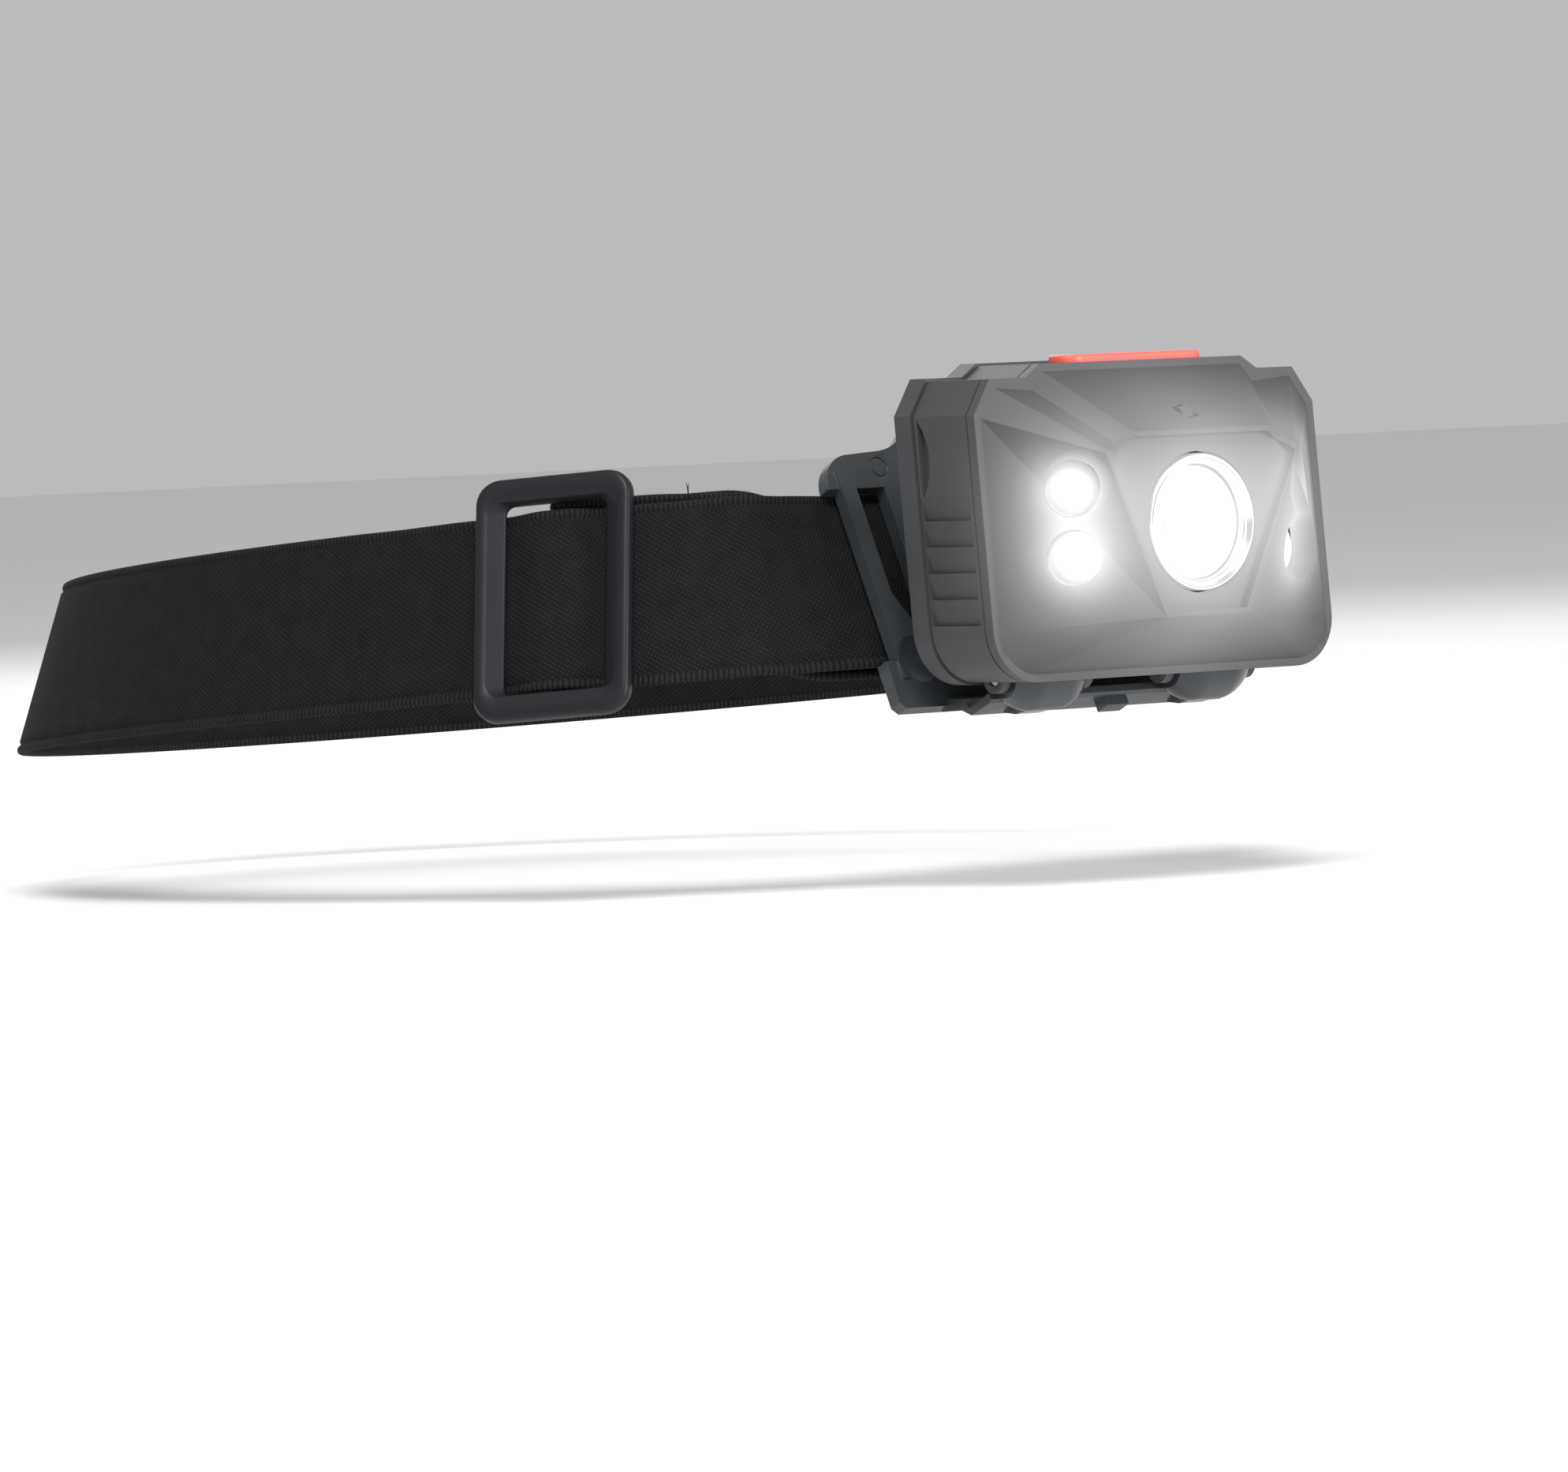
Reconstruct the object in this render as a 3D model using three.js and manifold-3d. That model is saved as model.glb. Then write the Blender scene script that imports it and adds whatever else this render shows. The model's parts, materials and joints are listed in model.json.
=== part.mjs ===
// Headlamp on an elastic strap: a five-light lamp head that tilts on a bracket,
// a webbing strap that loops round a helmet, and a three-bar slider that sets its length.
//
// Units are millimetres, +Z is up and the lamp shines towards -Y.
// Lamp coordinates have their origin at the centre of the main lens ring.
// Bracket coordinates (x, u, w) have theirs on the tilt axis: u points back and w up
// along the bracket, which leans back with the helmet.
// The part's own origin is the middle of the bracket's rear pad.
import * as THREE from 'three';
import { mergeVertices } from 'three/addons/utils/BufferGeometryUtils.js';
import Module from 'manifold-3d';

const wasm = await Module();
wasm.setup();

// ---- Driving dimensions of the lamp head ----
const HALF_W = 34;            // half the width of the lamp body
const TOP = 23;               // top edge of the body, beside the raised block
const BOTTOM = -23.2;         // bottom edge of the body
const CHAMFER_Z = 17.6;       // where the upper corner chamfer starts
const CHAMFER_X = 30.4;       // where it meets the top edge
const CORNER_R = 8;           // lower corner radius
const BLOCK_TOP = 25;         // top of the raised block that holds the button
const BLOCK_X = 20.2;         // half the width of that block at its top
const BLOCK_FOOT_X = 23.2;    // and at its foot
const BODY_LEAN = 0.08;       // how far the body planes lean back per mm of height
const RIM_Y = 10.6;           // front of the bezel rim
const BEZEL_BACK = 12.4;      // back of the bezel
const SEAM = 0.3;             // gap between two mating casings
const HOUSING_BACK = 25.2;    // back of the housing
const COVER_BACK = 29.3;      // back of the battery cover
const WALL = 1.8;             // casing wall

// Face panel: a six-sided flat panel that stands in front of the rim
const FACE_Y = -1.2;
const FACE_RECESS = 1.2;      // the panel floor lies this far behind its edge
const FACE_LAND = 0.8;        // width of the edge round the floor
const LENS_R = 10.5;          // outer radius of the main lens ring
const SIDE_LENS_R = 4;        // radius of the four small lenses
const SIDE_TILT = THREE.MathUtils.degToRad(33);
const SIDE_X = 22;            // middle of each side panel
const SIDE_Y = 3.6;
const SIDE_Z = [5.9, -4.7];   // heights of the upper and lower small lens

// Battery bay
const CELL_R = 5.25;
const CELL_L = 44.5;
const CELL_Z = [13, 1.7, -9.6];
const CELL_Y = 21.3;          // at z = 0; the row follows the body lean

// Button
const BUTTON_L = 28.4;
const BUTTON_W = 6.2;
const BUTTON_Y = 16.5;
const BUTTON_TOP = 26.2;

// Tilt hinge and bracket
const HINGE_Y = 20.3;
const HINGE_Z = -22.6;
const KNUCKLE_R = 5.4;
const KNUCKLE_X = 16.4;       // middle of each knuckle
const KNUCKLE_HALF = 7;       // half its length; its ends taper
const PIN_R = 1.2;
const LEAN = THREE.MathUtils.degToRad(25);   // lean of the bracket at rest
const PLATE_U = 12;           // front face of the bracket plate
const PLATE_T = 2.4;
const PLATE_HALF_W = 34.4;
const PLATE_TOP = 44;
const SLOT_LOW = 9;           // the strap windows, bottom and top
const SLOT_HIGH = 38.2;
const PAD_BACK = 21;          // rear face of the pad, which rests on the helmet

// Strap
const STRAP_W = 29;
const STRAP_T = 1.3;
const OVAL_A = 88.5;          // half axes of the strap's oval, across and along
const OVAL_B = 110.5;
const OVAL_Y = 142;           // centre of the oval
const STRAP_SLOPE = 0.069;    // fall per mm towards the back
const STRAP_Z = -6.6;         // strap middle where it reaches the bracket
const STRAP_LEAN = THREE.MathUtils.degToRad(18);
const SLIDER_ANGLE = 39.4;      // place of the slider on the oval, in degrees

// ---- Materials ----
function finish(color, roughness, metalness = 0, extra = {}) {
  return new THREE.MeshStandardMaterial({ color, roughness, metalness, ...extra });
}
const CASING = finish(0x55585c, 0.45, 0.25);
const BRACKET = finish(0x4a5056, 0.4);
const RED = finish(0xc8281f, 0.4);
const CLEAR = finish(0xf4f7fa, 0.05, 0, { transparent: true, opacity: 0.4 });
const LIT = finish(0xfffdf2, 0.3, 0, { emissive: 0xffffff });
const MIRROR = finish(0xdfe3e6, 0.12, 1);
const BOARD = finish(0x1f5a36, 0.6);
const STEEL = finish(0xb9bcbf, 0.3, 1);
const CELL = finish(0x2c4f87, 0.4, 0.3);
const RUBBER = finish(0x1c1c1d, 0.8);
const BLACK = finish(0x262829, 0.5);
const WEBBING = finish(0x1d1d1e, 0.95);

// ---- Groups ----
const headlamp = new THREE.Group();
const lampHead = new THREE.Group();
const bracketGroup = new THREE.Group();
const strapGroup = new THREE.Group();
headlamp.add(lampHead, bracketGroup, strapGroup);
bracketGroup.position.set(0, HINGE_Y, HINGE_Z);
bracketGroup.rotation.x = -LEAN;

// A point in bracket coordinates, given in lamp coordinates
function fromBracket(x, u, w) {
  return new THREE.Vector3(x, u, w).applyEuler(bracketGroup.rotation).add(bracketGroup.position);
}

// ---- Solids and booleans ----
function solid(geometry) {
  const bare = geometry.clone();
  for (const name of ['normal', 'uv']) bare.deleteAttribute(name);
  const merged = mergeVertices(bare, 1e-4);
  const index = merged.index.array;
  const corners = [];
  for (let i = 0; i < index.length; i += 3) {
    const [a, b, c] = index.subarray(i, i + 3);
    if (a !== b && b !== c && c !== a) corners.push(a, b, c);
  }
  return new wasm.Manifold(new wasm.Mesh({
    numProp: 3,
    vertProperties: new Float32Array(merged.attributes.position.array),
    triVerts: new Uint32Array(corners),
  }));
}

function toGeometry(body) {
  const mesh = body.getMesh();
  const geometry = new THREE.BufferGeometry();
  geometry.setAttribute('position', new THREE.BufferAttribute(mesh.vertProperties, 3));
  geometry.setIndex(new THREE.BufferAttribute(mesh.triVerts, 1));
  geometry.computeVertexNormals();
  return geometry;
}

function cut(body, ...tools) {
  return tools.reduce((left, tool) => left.subtract(tool), body);
}

function join(body, ...others) {
  return others.reduce((sum, other) => sum.add(other), body);
}

function add(group, name, shape, material) {
  const mesh = new THREE.Mesh(shape.isBufferGeometry ? shape : toGeometry(shape), material);
  mesh.name = name;
  group.add(mesh);
  return mesh;
}

// ---- Shapes shared by several pieces ----
function box(x0, x1, y0, y1, z0, z1) {
  const geometry = new THREE.BoxGeometry(x1 - x0, y1 - y0, z1 - z0);
  return geometry.translate((x0 + x1) / 2, (y0 + y1) / 2, (z0 + z1) / 2);
}

// An outline drawn in x and z, carried from y0 back to y1
function prism(shape, y0, y1) {
  const settings = { depth: y1 - y0, bevelEnabled: false, curveSegments: 6 };
  const geometry = new THREE.ExtrudeGeometry(shape, settings);
  return geometry.rotateX(Math.PI / 2).translate(0, y1, 0);
}

function polygon(points) {
  return new THREE.Shape(points.map(([x, z]) => new THREE.Vector2(x, z)));
}

// A round bar along x, y or z
function bar(axis, radius, from, to, at = [0, 0], sides = 24, radiusTo = radius) {
  const geometry = new THREE.CylinderGeometry(radiusTo, radius, to - from, sides);
  geometry.translate(0, (from + to) / 2, 0);
  if (axis === 'x') return geometry.rotateZ(-Math.PI / 2).translate(0, at[0], at[1]);
  if (axis === 'z') return geometry.rotateX(Math.PI / 2).translate(at[0], at[1], 0);
  return geometry.translate(at[0], 0, at[1]);
}

// A turned piece about the y axis: the profile is a list of [radius, y], taken anticlockwise
function turned(profile, sides = 32) {
  const points = profile.map(([r, y]) => new THREE.Vector2(r, y));
  if (THREE.ShapeUtils.isClockWise(points)) points.reverse();
  return new THREE.LatheGeometry(points, sides);
}

// The body outline, drawn in by inset; the raised block can be left off
function bodyOutline(inset = 0, block = true) {
  const x = HALF_W - inset;
  const low = BOTTOM + inset;
  const r = CORNER_R - inset;
  const right = [[x, CHAMFER_Z - 0.4 * inset], [CHAMFER_X - 0.45 * inset, TOP - inset]];
  const side = 0.6 * inset;
  if (block) right.push([BLOCK_FOOT_X - side, TOP - inset], [BLOCK_X - side, BLOCK_TOP - inset]);
  const left = right.map(([px, pz]) => [-px, pz]).reverse();
  const shape = polygon([...right, ...left]);
  shape.absarc(-x + r, low + r, r, Math.PI, 1.5 * Math.PI, false);
  shape.absarc(x - r, low + r, r, 1.5 * Math.PI, 2 * Math.PI, false);
  return shape;
}

// Swaps two corners of every triangle, which turns each face over
function turnedOver(geometry) {
  const p = geometry.attributes.position.array;
  for (let i = 0; i < p.length; i += 9) {
    for (let k = 0; k < 3; k++) [p[i + 3 + k], p[i + 6 + k]] = [p[i + 6 + k], p[i + 3 + k]];
  }
  return geometry;
}

// Mirror image of a solid across x = 0, with its faces turned the right way again
function mirrored(geometry) {
  const copy = geometry.index ? geometry.toNonIndexed() : geometry.clone();
  return turnedOver(copy.applyMatrix4(new THREE.Matrix4().makeScale(-1, 1, 1)));
}

// Body planes lean back with height: y grows by BODY_LEAN for each mm of z
function lean(geometry) {
  return geometry.applyMatrix4(new THREE.Matrix4().makeShear(0, 0, 0, 0, 0, BODY_LEAN));
}

function leanY(y, z) {
  return y + BODY_LEAN * z;
}

// ---- Bezel: a faceted shell between the rim and the six-sided face panel ----
const RIM_POINTS = [[19.7, 23.8], [22.6, 21.8], [29.6, 21.6], [32.7, 17.1], [32.7, -15.4]];
const FACE_POINTS = [[13.9, 14.2], [16.6, 12.7], [18.5, 11.6], [19.4, 11.1], [8.45, -14.2]];
const GROOVE = [0, 1.1, 0, 0, 0];   // how far the second ray of each corner is set back

// Closed solid with the faceted front; grow scales it and push moves it back
function gem(grow, push) {
  const cornerSteps = 6;
  const rim = RIM_POINTS.map((point, i) => [...point, GROOVE[i]]);
  const face = FACE_POINTS.map((point, i) => [...point, GROOVE[i]]);
  for (let i = 1; i <= cornerSteps; i++) {
    const turn = (i / cornerSteps) * Math.PI / 2;
    rim.push([32.7 - 6.6 + 6.6 * Math.cos(turn), -15.4 - 6.6 * Math.sin(turn), 0]);
    face.push(face[4]);
  }
  const loop = (points) => [...points, ...points.map(([x, z, back]) => [-x, z, back]).reverse()];
  const outer = loop(rim).map(([x, z, back]) => [x * grow, leanY(RIM_Y, z) + push + back, z * grow]);
  const inner = loop(face).map(([x, z, back]) => [x * grow, FACE_Y + push + back, z * grow]);
  const back = outer.map(([x, , z]) => [x, leanY(RIM_Y, z / grow) + 2 * push + 1.2, z]);
  const middleFront = [0, FACE_Y + push, 0];
  const middleBack = [0, RIM_Y + 1.2 + 2 * push, 0];
  const triangles = [];
  const n = outer.length;
  for (let i = 0; i < n; i++) {
    const j = (i + 1) % n;
    triangles.push([inner[i], outer[j], outer[i]], [inner[i], inner[j], outer[j]]);
    triangles.push([outer[i], back[j], back[i]], [outer[i], outer[j], back[j]]);
    triangles.push([middleFront, inner[j], inner[i]], [middleBack, back[i], back[j]]);
  }
  const area = ([a, b, c]) => {
    const u = new THREE.Vector3().fromArray(b).sub(new THREE.Vector3().fromArray(a));
    const v = new THREE.Vector3().fromArray(c).sub(new THREE.Vector3().fromArray(a));
    return u.cross(v).length();
  };
  const kept = triangles.filter((triangle) => area(triangle) > 1e-6);
  const geometry = new THREE.BufferGeometry();
  geometry.setAttribute('position', new THREE.Float32BufferAttribute(kept.flat(2), 3));
  return geometry;
}

// Moves a tool from the side panel's own axes to lamp coordinates; side is 1 or -1
function onSidePanel(geometry, side, z) {
  return geometry.rotateZ(side * SIDE_TILT).translate(side * SIDE_X, SIDE_Y, z);
}

function pill(length, width) {
  const r = width / 2;
  const half = length / 2 - r;
  const shape = new THREE.Shape();
  shape.absarc(half, 0, r, -Math.PI / 2, Math.PI / 2, false);
  shape.absarc(-half, 0, r, Math.PI / 2, 1.5 * Math.PI, false);
  return shape;
}

// The pill-shaped well for the button, as a tool that runs down through the block
function buttonTool(clearance, z0, z1) {
  const shape = pill(BUTTON_L + 2 * clearance, BUTTON_W + 2 * clearance);
  const settings = { depth: z1 - z0, bevelEnabled: false, curveSegments: 8 };
  const geometry = new THREE.ExtrudeGeometry(shape, settings);
  return geometry.translate(0, BUTTON_Y, z0);
}

const SENSOR_Z = 16.8;
const SENSOR_OUTLINE = [[-1.9, 0.7], [0.5, 1.1], [1.9, -0.7], [-0.5, -1.1]];

function sensorTool(grow, y0, y1) {
  const points = SENSOR_OUTLINE.map(([x, z]) => [x * grow, SENSOR_Z + z * grow]);
  return prism(polygon(points), y0, y1);
}

// The face panel's floor: its outline stands in from the panel's edge by the width of the land
function panelFloor() {
  const [top, , , middle, bottom] = FACE_POINTS;
  const right = [[top[0] - FACE_LAND, top[1] - FACE_LAND], [middle[0] - FACE_LAND, middle[1] - FACE_LAND],
    [bottom[0] - FACE_LAND, bottom[1] + FACE_LAND]];
  const left = right.map(([x, z]) => [-x, z]).reverse();
  return prism(polygon([...right, ...left]), FACE_Y - 1, FACE_Y + FACE_RECESS);
}

function addBezel() {
  const rim = solid(lean(prism(bodyOutline(), RIM_Y, BEZEL_BACK)));
  const hollow = solid(gem(0.93, 3));
  const recess = solid(panelFloor());
  const lensHole = solid(bar('y', LENS_R + 0.3, -3, 6, [0, 0], 48));
  const rearOpening = solid(lean(prism(bodyOutline(WALL), RIM_Y + 1.2, BEZEL_BACK + 2)));
  const tools = [hollow, rearOpening, recess, lensHole];
  for (const side of [1, -1]) {
    for (const z of SIDE_Z) {
      tools.push(solid(onSidePanel(bar('y', 6.4, -2, 1.6, [0, 0], 28, SIDE_LENS_R + 0.4), side, z)));
      tools.push(solid(onSidePanel(bar('y', SIDE_LENS_R + 0.4, 1, 6, [0, 0], 28), side, z)));
    }
  }
  tools.push(solid(sensorTool(1, -1, 8)), solid(buttonTool(0.3, 22, 30)));
  const shell = cut(join(solid(gem(1, 0)), rim), ...tools);
  add(lampHead, 'front_bezel', shell, CASING);
  add(lampHead, 'sensor_window', sensorTool(0.8, 2.2, 4.2), BLACK);
  add(lampHead, 'motion_sensor', box(-1.4, 1.4, 8.4, 9.6, SENSOR_Z - 1.4, SENSOR_Z + 0.3), BLACK);
}

// ---- Main light ----
function addMainLight() {
  const ring = turned([[8.9, 3], [8.9, 0.6], [9.7, -0.5], [10.1, -0.5], [LENS_R, 0], [LENS_R, 3], [8.9, 3]],
    48);
  const lens = turned([[0, 2.6], [8.6, 2.6], [8.6, 1.5], [6, 0.9], [3, 0.6], [0, 0.5]], 40);
  const cup = [];
  for (let i = 0; i <= 8; i++) {
    const r = 2.5 + (8.4 - 2.5) * (i / 8);
    cup.push([r, 10.5 - 7.3 * Math.pow((r - 2.5) / 5.9, 1.6)]);
  }
  const reflector = turned([...cup, [10.3, 3.4], [10.3, 4.4], [9.2, 4.8], [3.4, 11], [2.5, 11], cup[0]],
    40);
  const dome = turned([[0, 11.4], [1.5, 11.4], [1.4, 10.6], [0.9, 10.1], [0, 9.9]], 20);
  const chip = join(solid(box(-2.2, 2.2, 11.3, 12.1, -2.2, 2.2)), solid(dome));
  add(lampHead, 'main_lens_ring', ring, MIRROR);
  add(lampHead, 'main_lens', lens, CLEAR);
  add(lampHead, 'reflector', reflector, MIRROR);
  add(lampHead, 'main_led', chip, LIT);
  add(lampHead, 'main_board', lean(box(-24, 24, 12.5, 13.5, -13, 13)), BOARD);
}

// ---- Four side lights, two on each small tilted board ----
function addSideLights() {
  for (const side of [1, -1]) {
    const word = side > 0 ? 'left' : 'right';
    const middle = (SIDE_Z[0] + SIDE_Z[1]) / 2;
    const board = box(-3.6, 3.6, 5.7, 6.6, -9, 9);
    add(lampHead, `side_board_${word}`, onSidePanel(board, side, middle), BOARD);
    SIDE_Z.forEach((z, row) => {
      const tag = `${row === 0 ? 'upper' : 'lower'}_${word}`;
      const lens = turned([[0, 4.4], [SIDE_LENS_R, 4.4], [SIDE_LENS_R, 2.4], [3.6, 1.3], [2.6, 0.5],
        [1.3, 0.1], [0, 0]], 28);
      add(lampHead, `side_lens_${tag}`, onSidePanel(lens, side, z), CLEAR);
      add(lampHead, `side_led_${tag}`, onSidePanel(box(-1.5, 1.5, 4.7, 5.4, -1.5, 1.5), side, z), LIT);
    });
  }
}

// ---- Housing with the battery bay, grip ribs and hinge bosses ----
const RIB_Z = [2.2, -1.8, -5.8, -9.8, -13.8];
const BOSS_HALF = KNUCKLE_HALF + 2;
const BOSS_R = 2.4;           // the bosses are round below the casing

function hingeSlot(side) {
  const half = KNUCKLE_HALF + 0.4;
  const x = side * KNUCKLE_X;
  const reach = KNUCKLE_R + 0.3;
  return solid(box(x - half, x + half, HINGE_Y - reach, HINGE_Y + reach, HINGE_Z - 8, HINGE_Z + reach));
}

function addHousing() {
  const front = BEZEL_BACK + SEAM;
  const shell = solid(lean(prism(bodyOutline(), front, HOUSING_BACK)));
  const bay = solid(lean(prism(bodyOutline(WALL), front - 1, HOUSING_BACK + 1)));
  const wholeWall = solid(lean(prism(bodyOutline(1), front + 1.9, front + 2.9)));
  const partition = wholeWall.intersect(solid(box(-HALF_W, HALF_W, 0, HOUSING_BACK, BOTTOM, 18)));
  let housing = join(cut(shell, bay), partition);
  for (const side of [1, -1]) {
    const x = side * KNUCKLE_X;
    const boss = box(x - BOSS_HALF, x + BOSS_HALF, HINGE_Y - 6.9, HINGE_Y + 2.9, BOTTOM + 0.4, HINGE_Z + 6.8);
    const rib = lean(box(side * 28.9 - 0.6, side * 28.9 + 0.6, front + 2, HOUSING_BACK - 1, -15, 18));
    const round = bar('x', BOSS_R, x - BOSS_HALF, x + BOSS_HALF, [HINGE_Y, HINGE_Z], 32);
    housing = join(housing, solid(boss), solid(rib), solid(round));
  }
  const tools = [solid(buttonTool(0.3, 22, 30))];
  for (const side of [1, -1]) {
    tools.push(hingeSlot(side));
    const x = side * KNUCKLE_X;
    const bore = bar('x', PIN_R + 0.05, x - BOSS_HALF - 1, x + BOSS_HALF + 1, [HINGE_Y, HINGE_Z], 24);
    tools.push(solid(bore));
    // Shingled grip: each step is a wedge that runs in towards its lower edge
    for (const z of RIB_Z) {
      const wedge = polygon([[HALF_W + 1, z + 3.4], [HALF_W + 1, z - 0.5], [HALF_W - 0.9, z - 0.5],
        [HALF_W, z + 3.4]]);
      const tool = lean(prism(wedge, front + 0.8, HOUSING_BACK - 0.2));
      tools.push(solid(side > 0 ? tool : mirrored(tool)));
    }
    // Finger scoop beside the battery cover
    const scoop = bar('x', 9, HALF_W - 1.1, HALF_W + 2, [leanY(HOUSING_BACK + 6, 10), 10.5], 32);
    const limit = lean(box(HALF_W - 2, HALF_W + 3, HOUSING_BACK - 6, HOUSING_BACK - 0.7, 3.6, 18));
    const scoopTool = solid(scoop).intersect(solid(limit));
    tools.push(side > 0 ? scoopTool : solid(mirrored(toGeometry(scoopTool))));
  }
  add(lampHead, 'housing', cut(housing, ...tools), CASING);
  const gasketOuter = solid(lean(prism(bodyOutline(2.2, false), front - 0.6, front - 0.05)));
  const gasketInner = solid(lean(prism(bodyOutline(3.4, false), front - 2, front + 1)));
  add(lampHead, 'front_gasket', cut(gasketOuter, gasketInner), RUBBER);
}


// ---- Battery cover: a shallow pan with a slightly larger outline and a finger tab ----
function addCover() {
  const front = HOUSING_BACK + SEAM;
  const pan = solid(lean(prism(bodyOutline(-0.4), front, COVER_BACK)));
  const hollow = solid(lean(prism(bodyOutline(WALL), front - 1, COVER_BACK - 1.6)));
  const bevel = solid(lean(prism(bodyOutline(0.6), COVER_BACK - 0.01, COVER_BACK + 0.5)));
  const cover = cut(join(pan, bevel), hollow, hingeSlot(1), hingeSlot(-1));
  add(lampHead, 'battery_cover', cover, CASING);
}

// ---- Cells, contacts and switch ----
function spring(x0, x1, y, z) {
  const points = [];
  const turns = 3;
  const steps = turns * 10;
  for (let i = 0; i <= steps; i++) {
    const turn = (i / 10) * 2 * Math.PI;
    const r = 3.2 - 1.2 * (i / steps);
    const x = x0 + (x1 - x0) * (i / steps);
    points.push(new THREE.Vector3(x, y + r * Math.cos(turn), z + r * Math.sin(turn)));
  }
  const wire = new THREE.Shape().absarc(0, 0, 0.3, 0, 2 * Math.PI, false);
  const path = new THREE.CatmullRomCurve3(points);
  return new THREE.ExtrudeGeometry(wire, { steps: steps * 2, extrudePath: path, curveSegments: 3 });
}

function addBatteries() {
  CELL_Z.forEach((z, i) => {
    const y = leanY(CELL_Y, z);
    const flip = i % 2 ? -1 : 1;
    const half = CELL_L / 2;
    const can = turned([[0, -half], [CELL_R, -half], [CELL_R, half - 1], [1.9, half - 1], [1.9, half],
      [0, half]], 20);
    can.rotateZ(-flip * Math.PI / 2).translate(flip * 2, y, z);
    add(lampHead, `cell_${i + 1}`, can, CELL);
    add(lampHead, `contact_spring_${i + 1}`, spring(-flip * 26.7, -flip * 20.9, y, z), STEEL);
  });
  for (const side of [1, -1]) {
    const word = side > 0 ? 'left' : 'right';
    const plate = box(side * 27.6 - 0.3, side * 27.6 + 0.3, CELL_Y - 4, CELL_Y + 4.5, -14, 17);
    add(lampHead, `contact_plate_${word}`, plate, STEEL);
  }
  const can = solid(box(-3, 3, BUTTON_Y - 0.8, BUTTON_Y + 3, 19.2, 20.8));
  const plunger = solid(bar('z', 0.7, 20.5, 21.2, [0, BUTTON_Y + 0.3], 16));
  add(lampHead, 'tact_switch', join(can, plunger), BLACK);
}

function addButton() {
  const shape = pill(BUTTON_L - 1, BUTTON_W - 1);
  const [round, under] = [0.5, 24.3];
  const cap = new THREE.ExtrudeGeometry(shape, { depth: BUTTON_TOP - under - 2 * round, bevelEnabled: true,
    bevelSize: round, bevelThickness: round, bevelSegments: 3, curveSegments: 8 });
  cap.translate(0, BUTTON_Y, under + round);
  const stem = bar('z', 1.4, 22.4, under + 0.3, [0, BUTTON_Y], 16);
  add(lampHead, 'power_button', join(solid(cap), solid(stem)), RED);
}

function addPins() {
  for (const side of [1, -1]) {
    const word = side > 0 ? 'left' : 'right';
    const x = side * KNUCKLE_X;
    const half = BOSS_HALF - 0.3;
    add(lampHead, `hinge_pin_${word}`, bar('x', PIN_R, x - half, x + half, [HINGE_Y, HINGE_Z], 24), STEEL);
  }
}

// ---- Bracket, in bracket coordinates: x across, u back (as y) and w up (as z) ----
function plateOutline() {
  const r = 6;
  const shape = new THREE.Shape();
  shape.moveTo(PLATE_HALF_W - 1, 1);
  shape.lineTo(PLATE_HALF_W, 2);
  shape.absarc(PLATE_HALF_W - r, PLATE_TOP - r, r, 0, Math.PI / 2, false);
  shape.lineTo(22, PLATE_TOP + 0.4);
  shape.quadraticCurveTo(18.5, PLATE_TOP + 0.8, 16, PLATE_TOP + 3.6);
  shape.quadraticCurveTo(0, PLATE_TOP + 5, -16, PLATE_TOP + 3.6);
  shape.quadraticCurveTo(-18.5, PLATE_TOP + 0.8, -22, PLATE_TOP + 0.4);
  shape.absarc(-PLATE_HALF_W + r, PLATE_TOP - r, r, Math.PI / 2, Math.PI, false);
  shape.lineTo(-PLATE_HALF_W, 2);
  shape.lineTo(-PLATE_HALF_W + 1, 1);
  return shape;
}

// A profile drawn in u and w, carried across from x0 to x1
function across(points, x0, x1) {
  const geometry = new THREE.ExtrudeGeometry(polygon(points), { depth: x1 - x0, bevelEnabled: false });
  const turn = new THREE.Matrix4().makeBasis(new THREE.Vector3(0, 1, 0), new THREE.Vector3(0, 0, 1),
    new THREE.Vector3(1, 0, 0));
  return geometry.applyMatrix4(turn).translate(x0, 0, 0);
}

const GUIDE_X = [29.4, 32.2];       // the bar in front of the strap
const ANCHOR_X = 20.5;              // the bar that the strap turns round
const ANCHOR_U = [16.4, 18.4];      // its depth
const ANCHOR_CLEAR = 0.8;           // its upper foot stands this far above the window
const BAR_FOOT = 3;                 // how far each bar runs on past its window

const KNUCKLE_MIDDLE = 2.4;         // half length of the knuckle's round middle

// A hinge knuckle: turned about the x axis, its radius falls off as a smooth step towards each end
function knuckle(x) {
  const steps = 6;
  const small = 3.2;
  const right = Array.from({ length: steps + 1 }, (_, i) => {
    const radius = KNUCKLE_R - (KNUCKLE_R - small) * Math.pow(i / steps, 1.8);
    return [radius, KNUCKLE_MIDDLE + (KNUCKLE_HALF - KNUCKLE_MIDDLE) * (i / steps)];
  });
  const left = right.map(([radius, along]) => [radius, -along]).reverse();
  const body = turned([[0, -KNUCKLE_HALF], ...left, ...right, [0, KNUCKLE_HALF]], 36);
  return solid(body.rotateZ(-Math.PI / 2).translate(x, 0, 0));
}

// The web that flares from the guide bar's foot to the plate, in front of the strap
const FLARE = [[29.8, 21], [26.4, 13.8], [23, 9.8], [22.6, 7], [31, 7], [31, 21]];

// A shallow dish in the foot of each guide bar
const DISH = { x: 28.2, w: 8.6, radius: 7, depth: 1.5 };

// A fine ring groove in each top corner of the plate
function ringGroove(x, w) {
  const outer = bar('y', 1.7, PLATE_U - 1, PLATE_U + 0.15, [x, w], 28);
  const inner = bar('y', 1.45, PLATE_U - 2, PLATE_U + 1, [x, w], 28);
  return cut(solid(outer), solid(inner));
}

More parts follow.
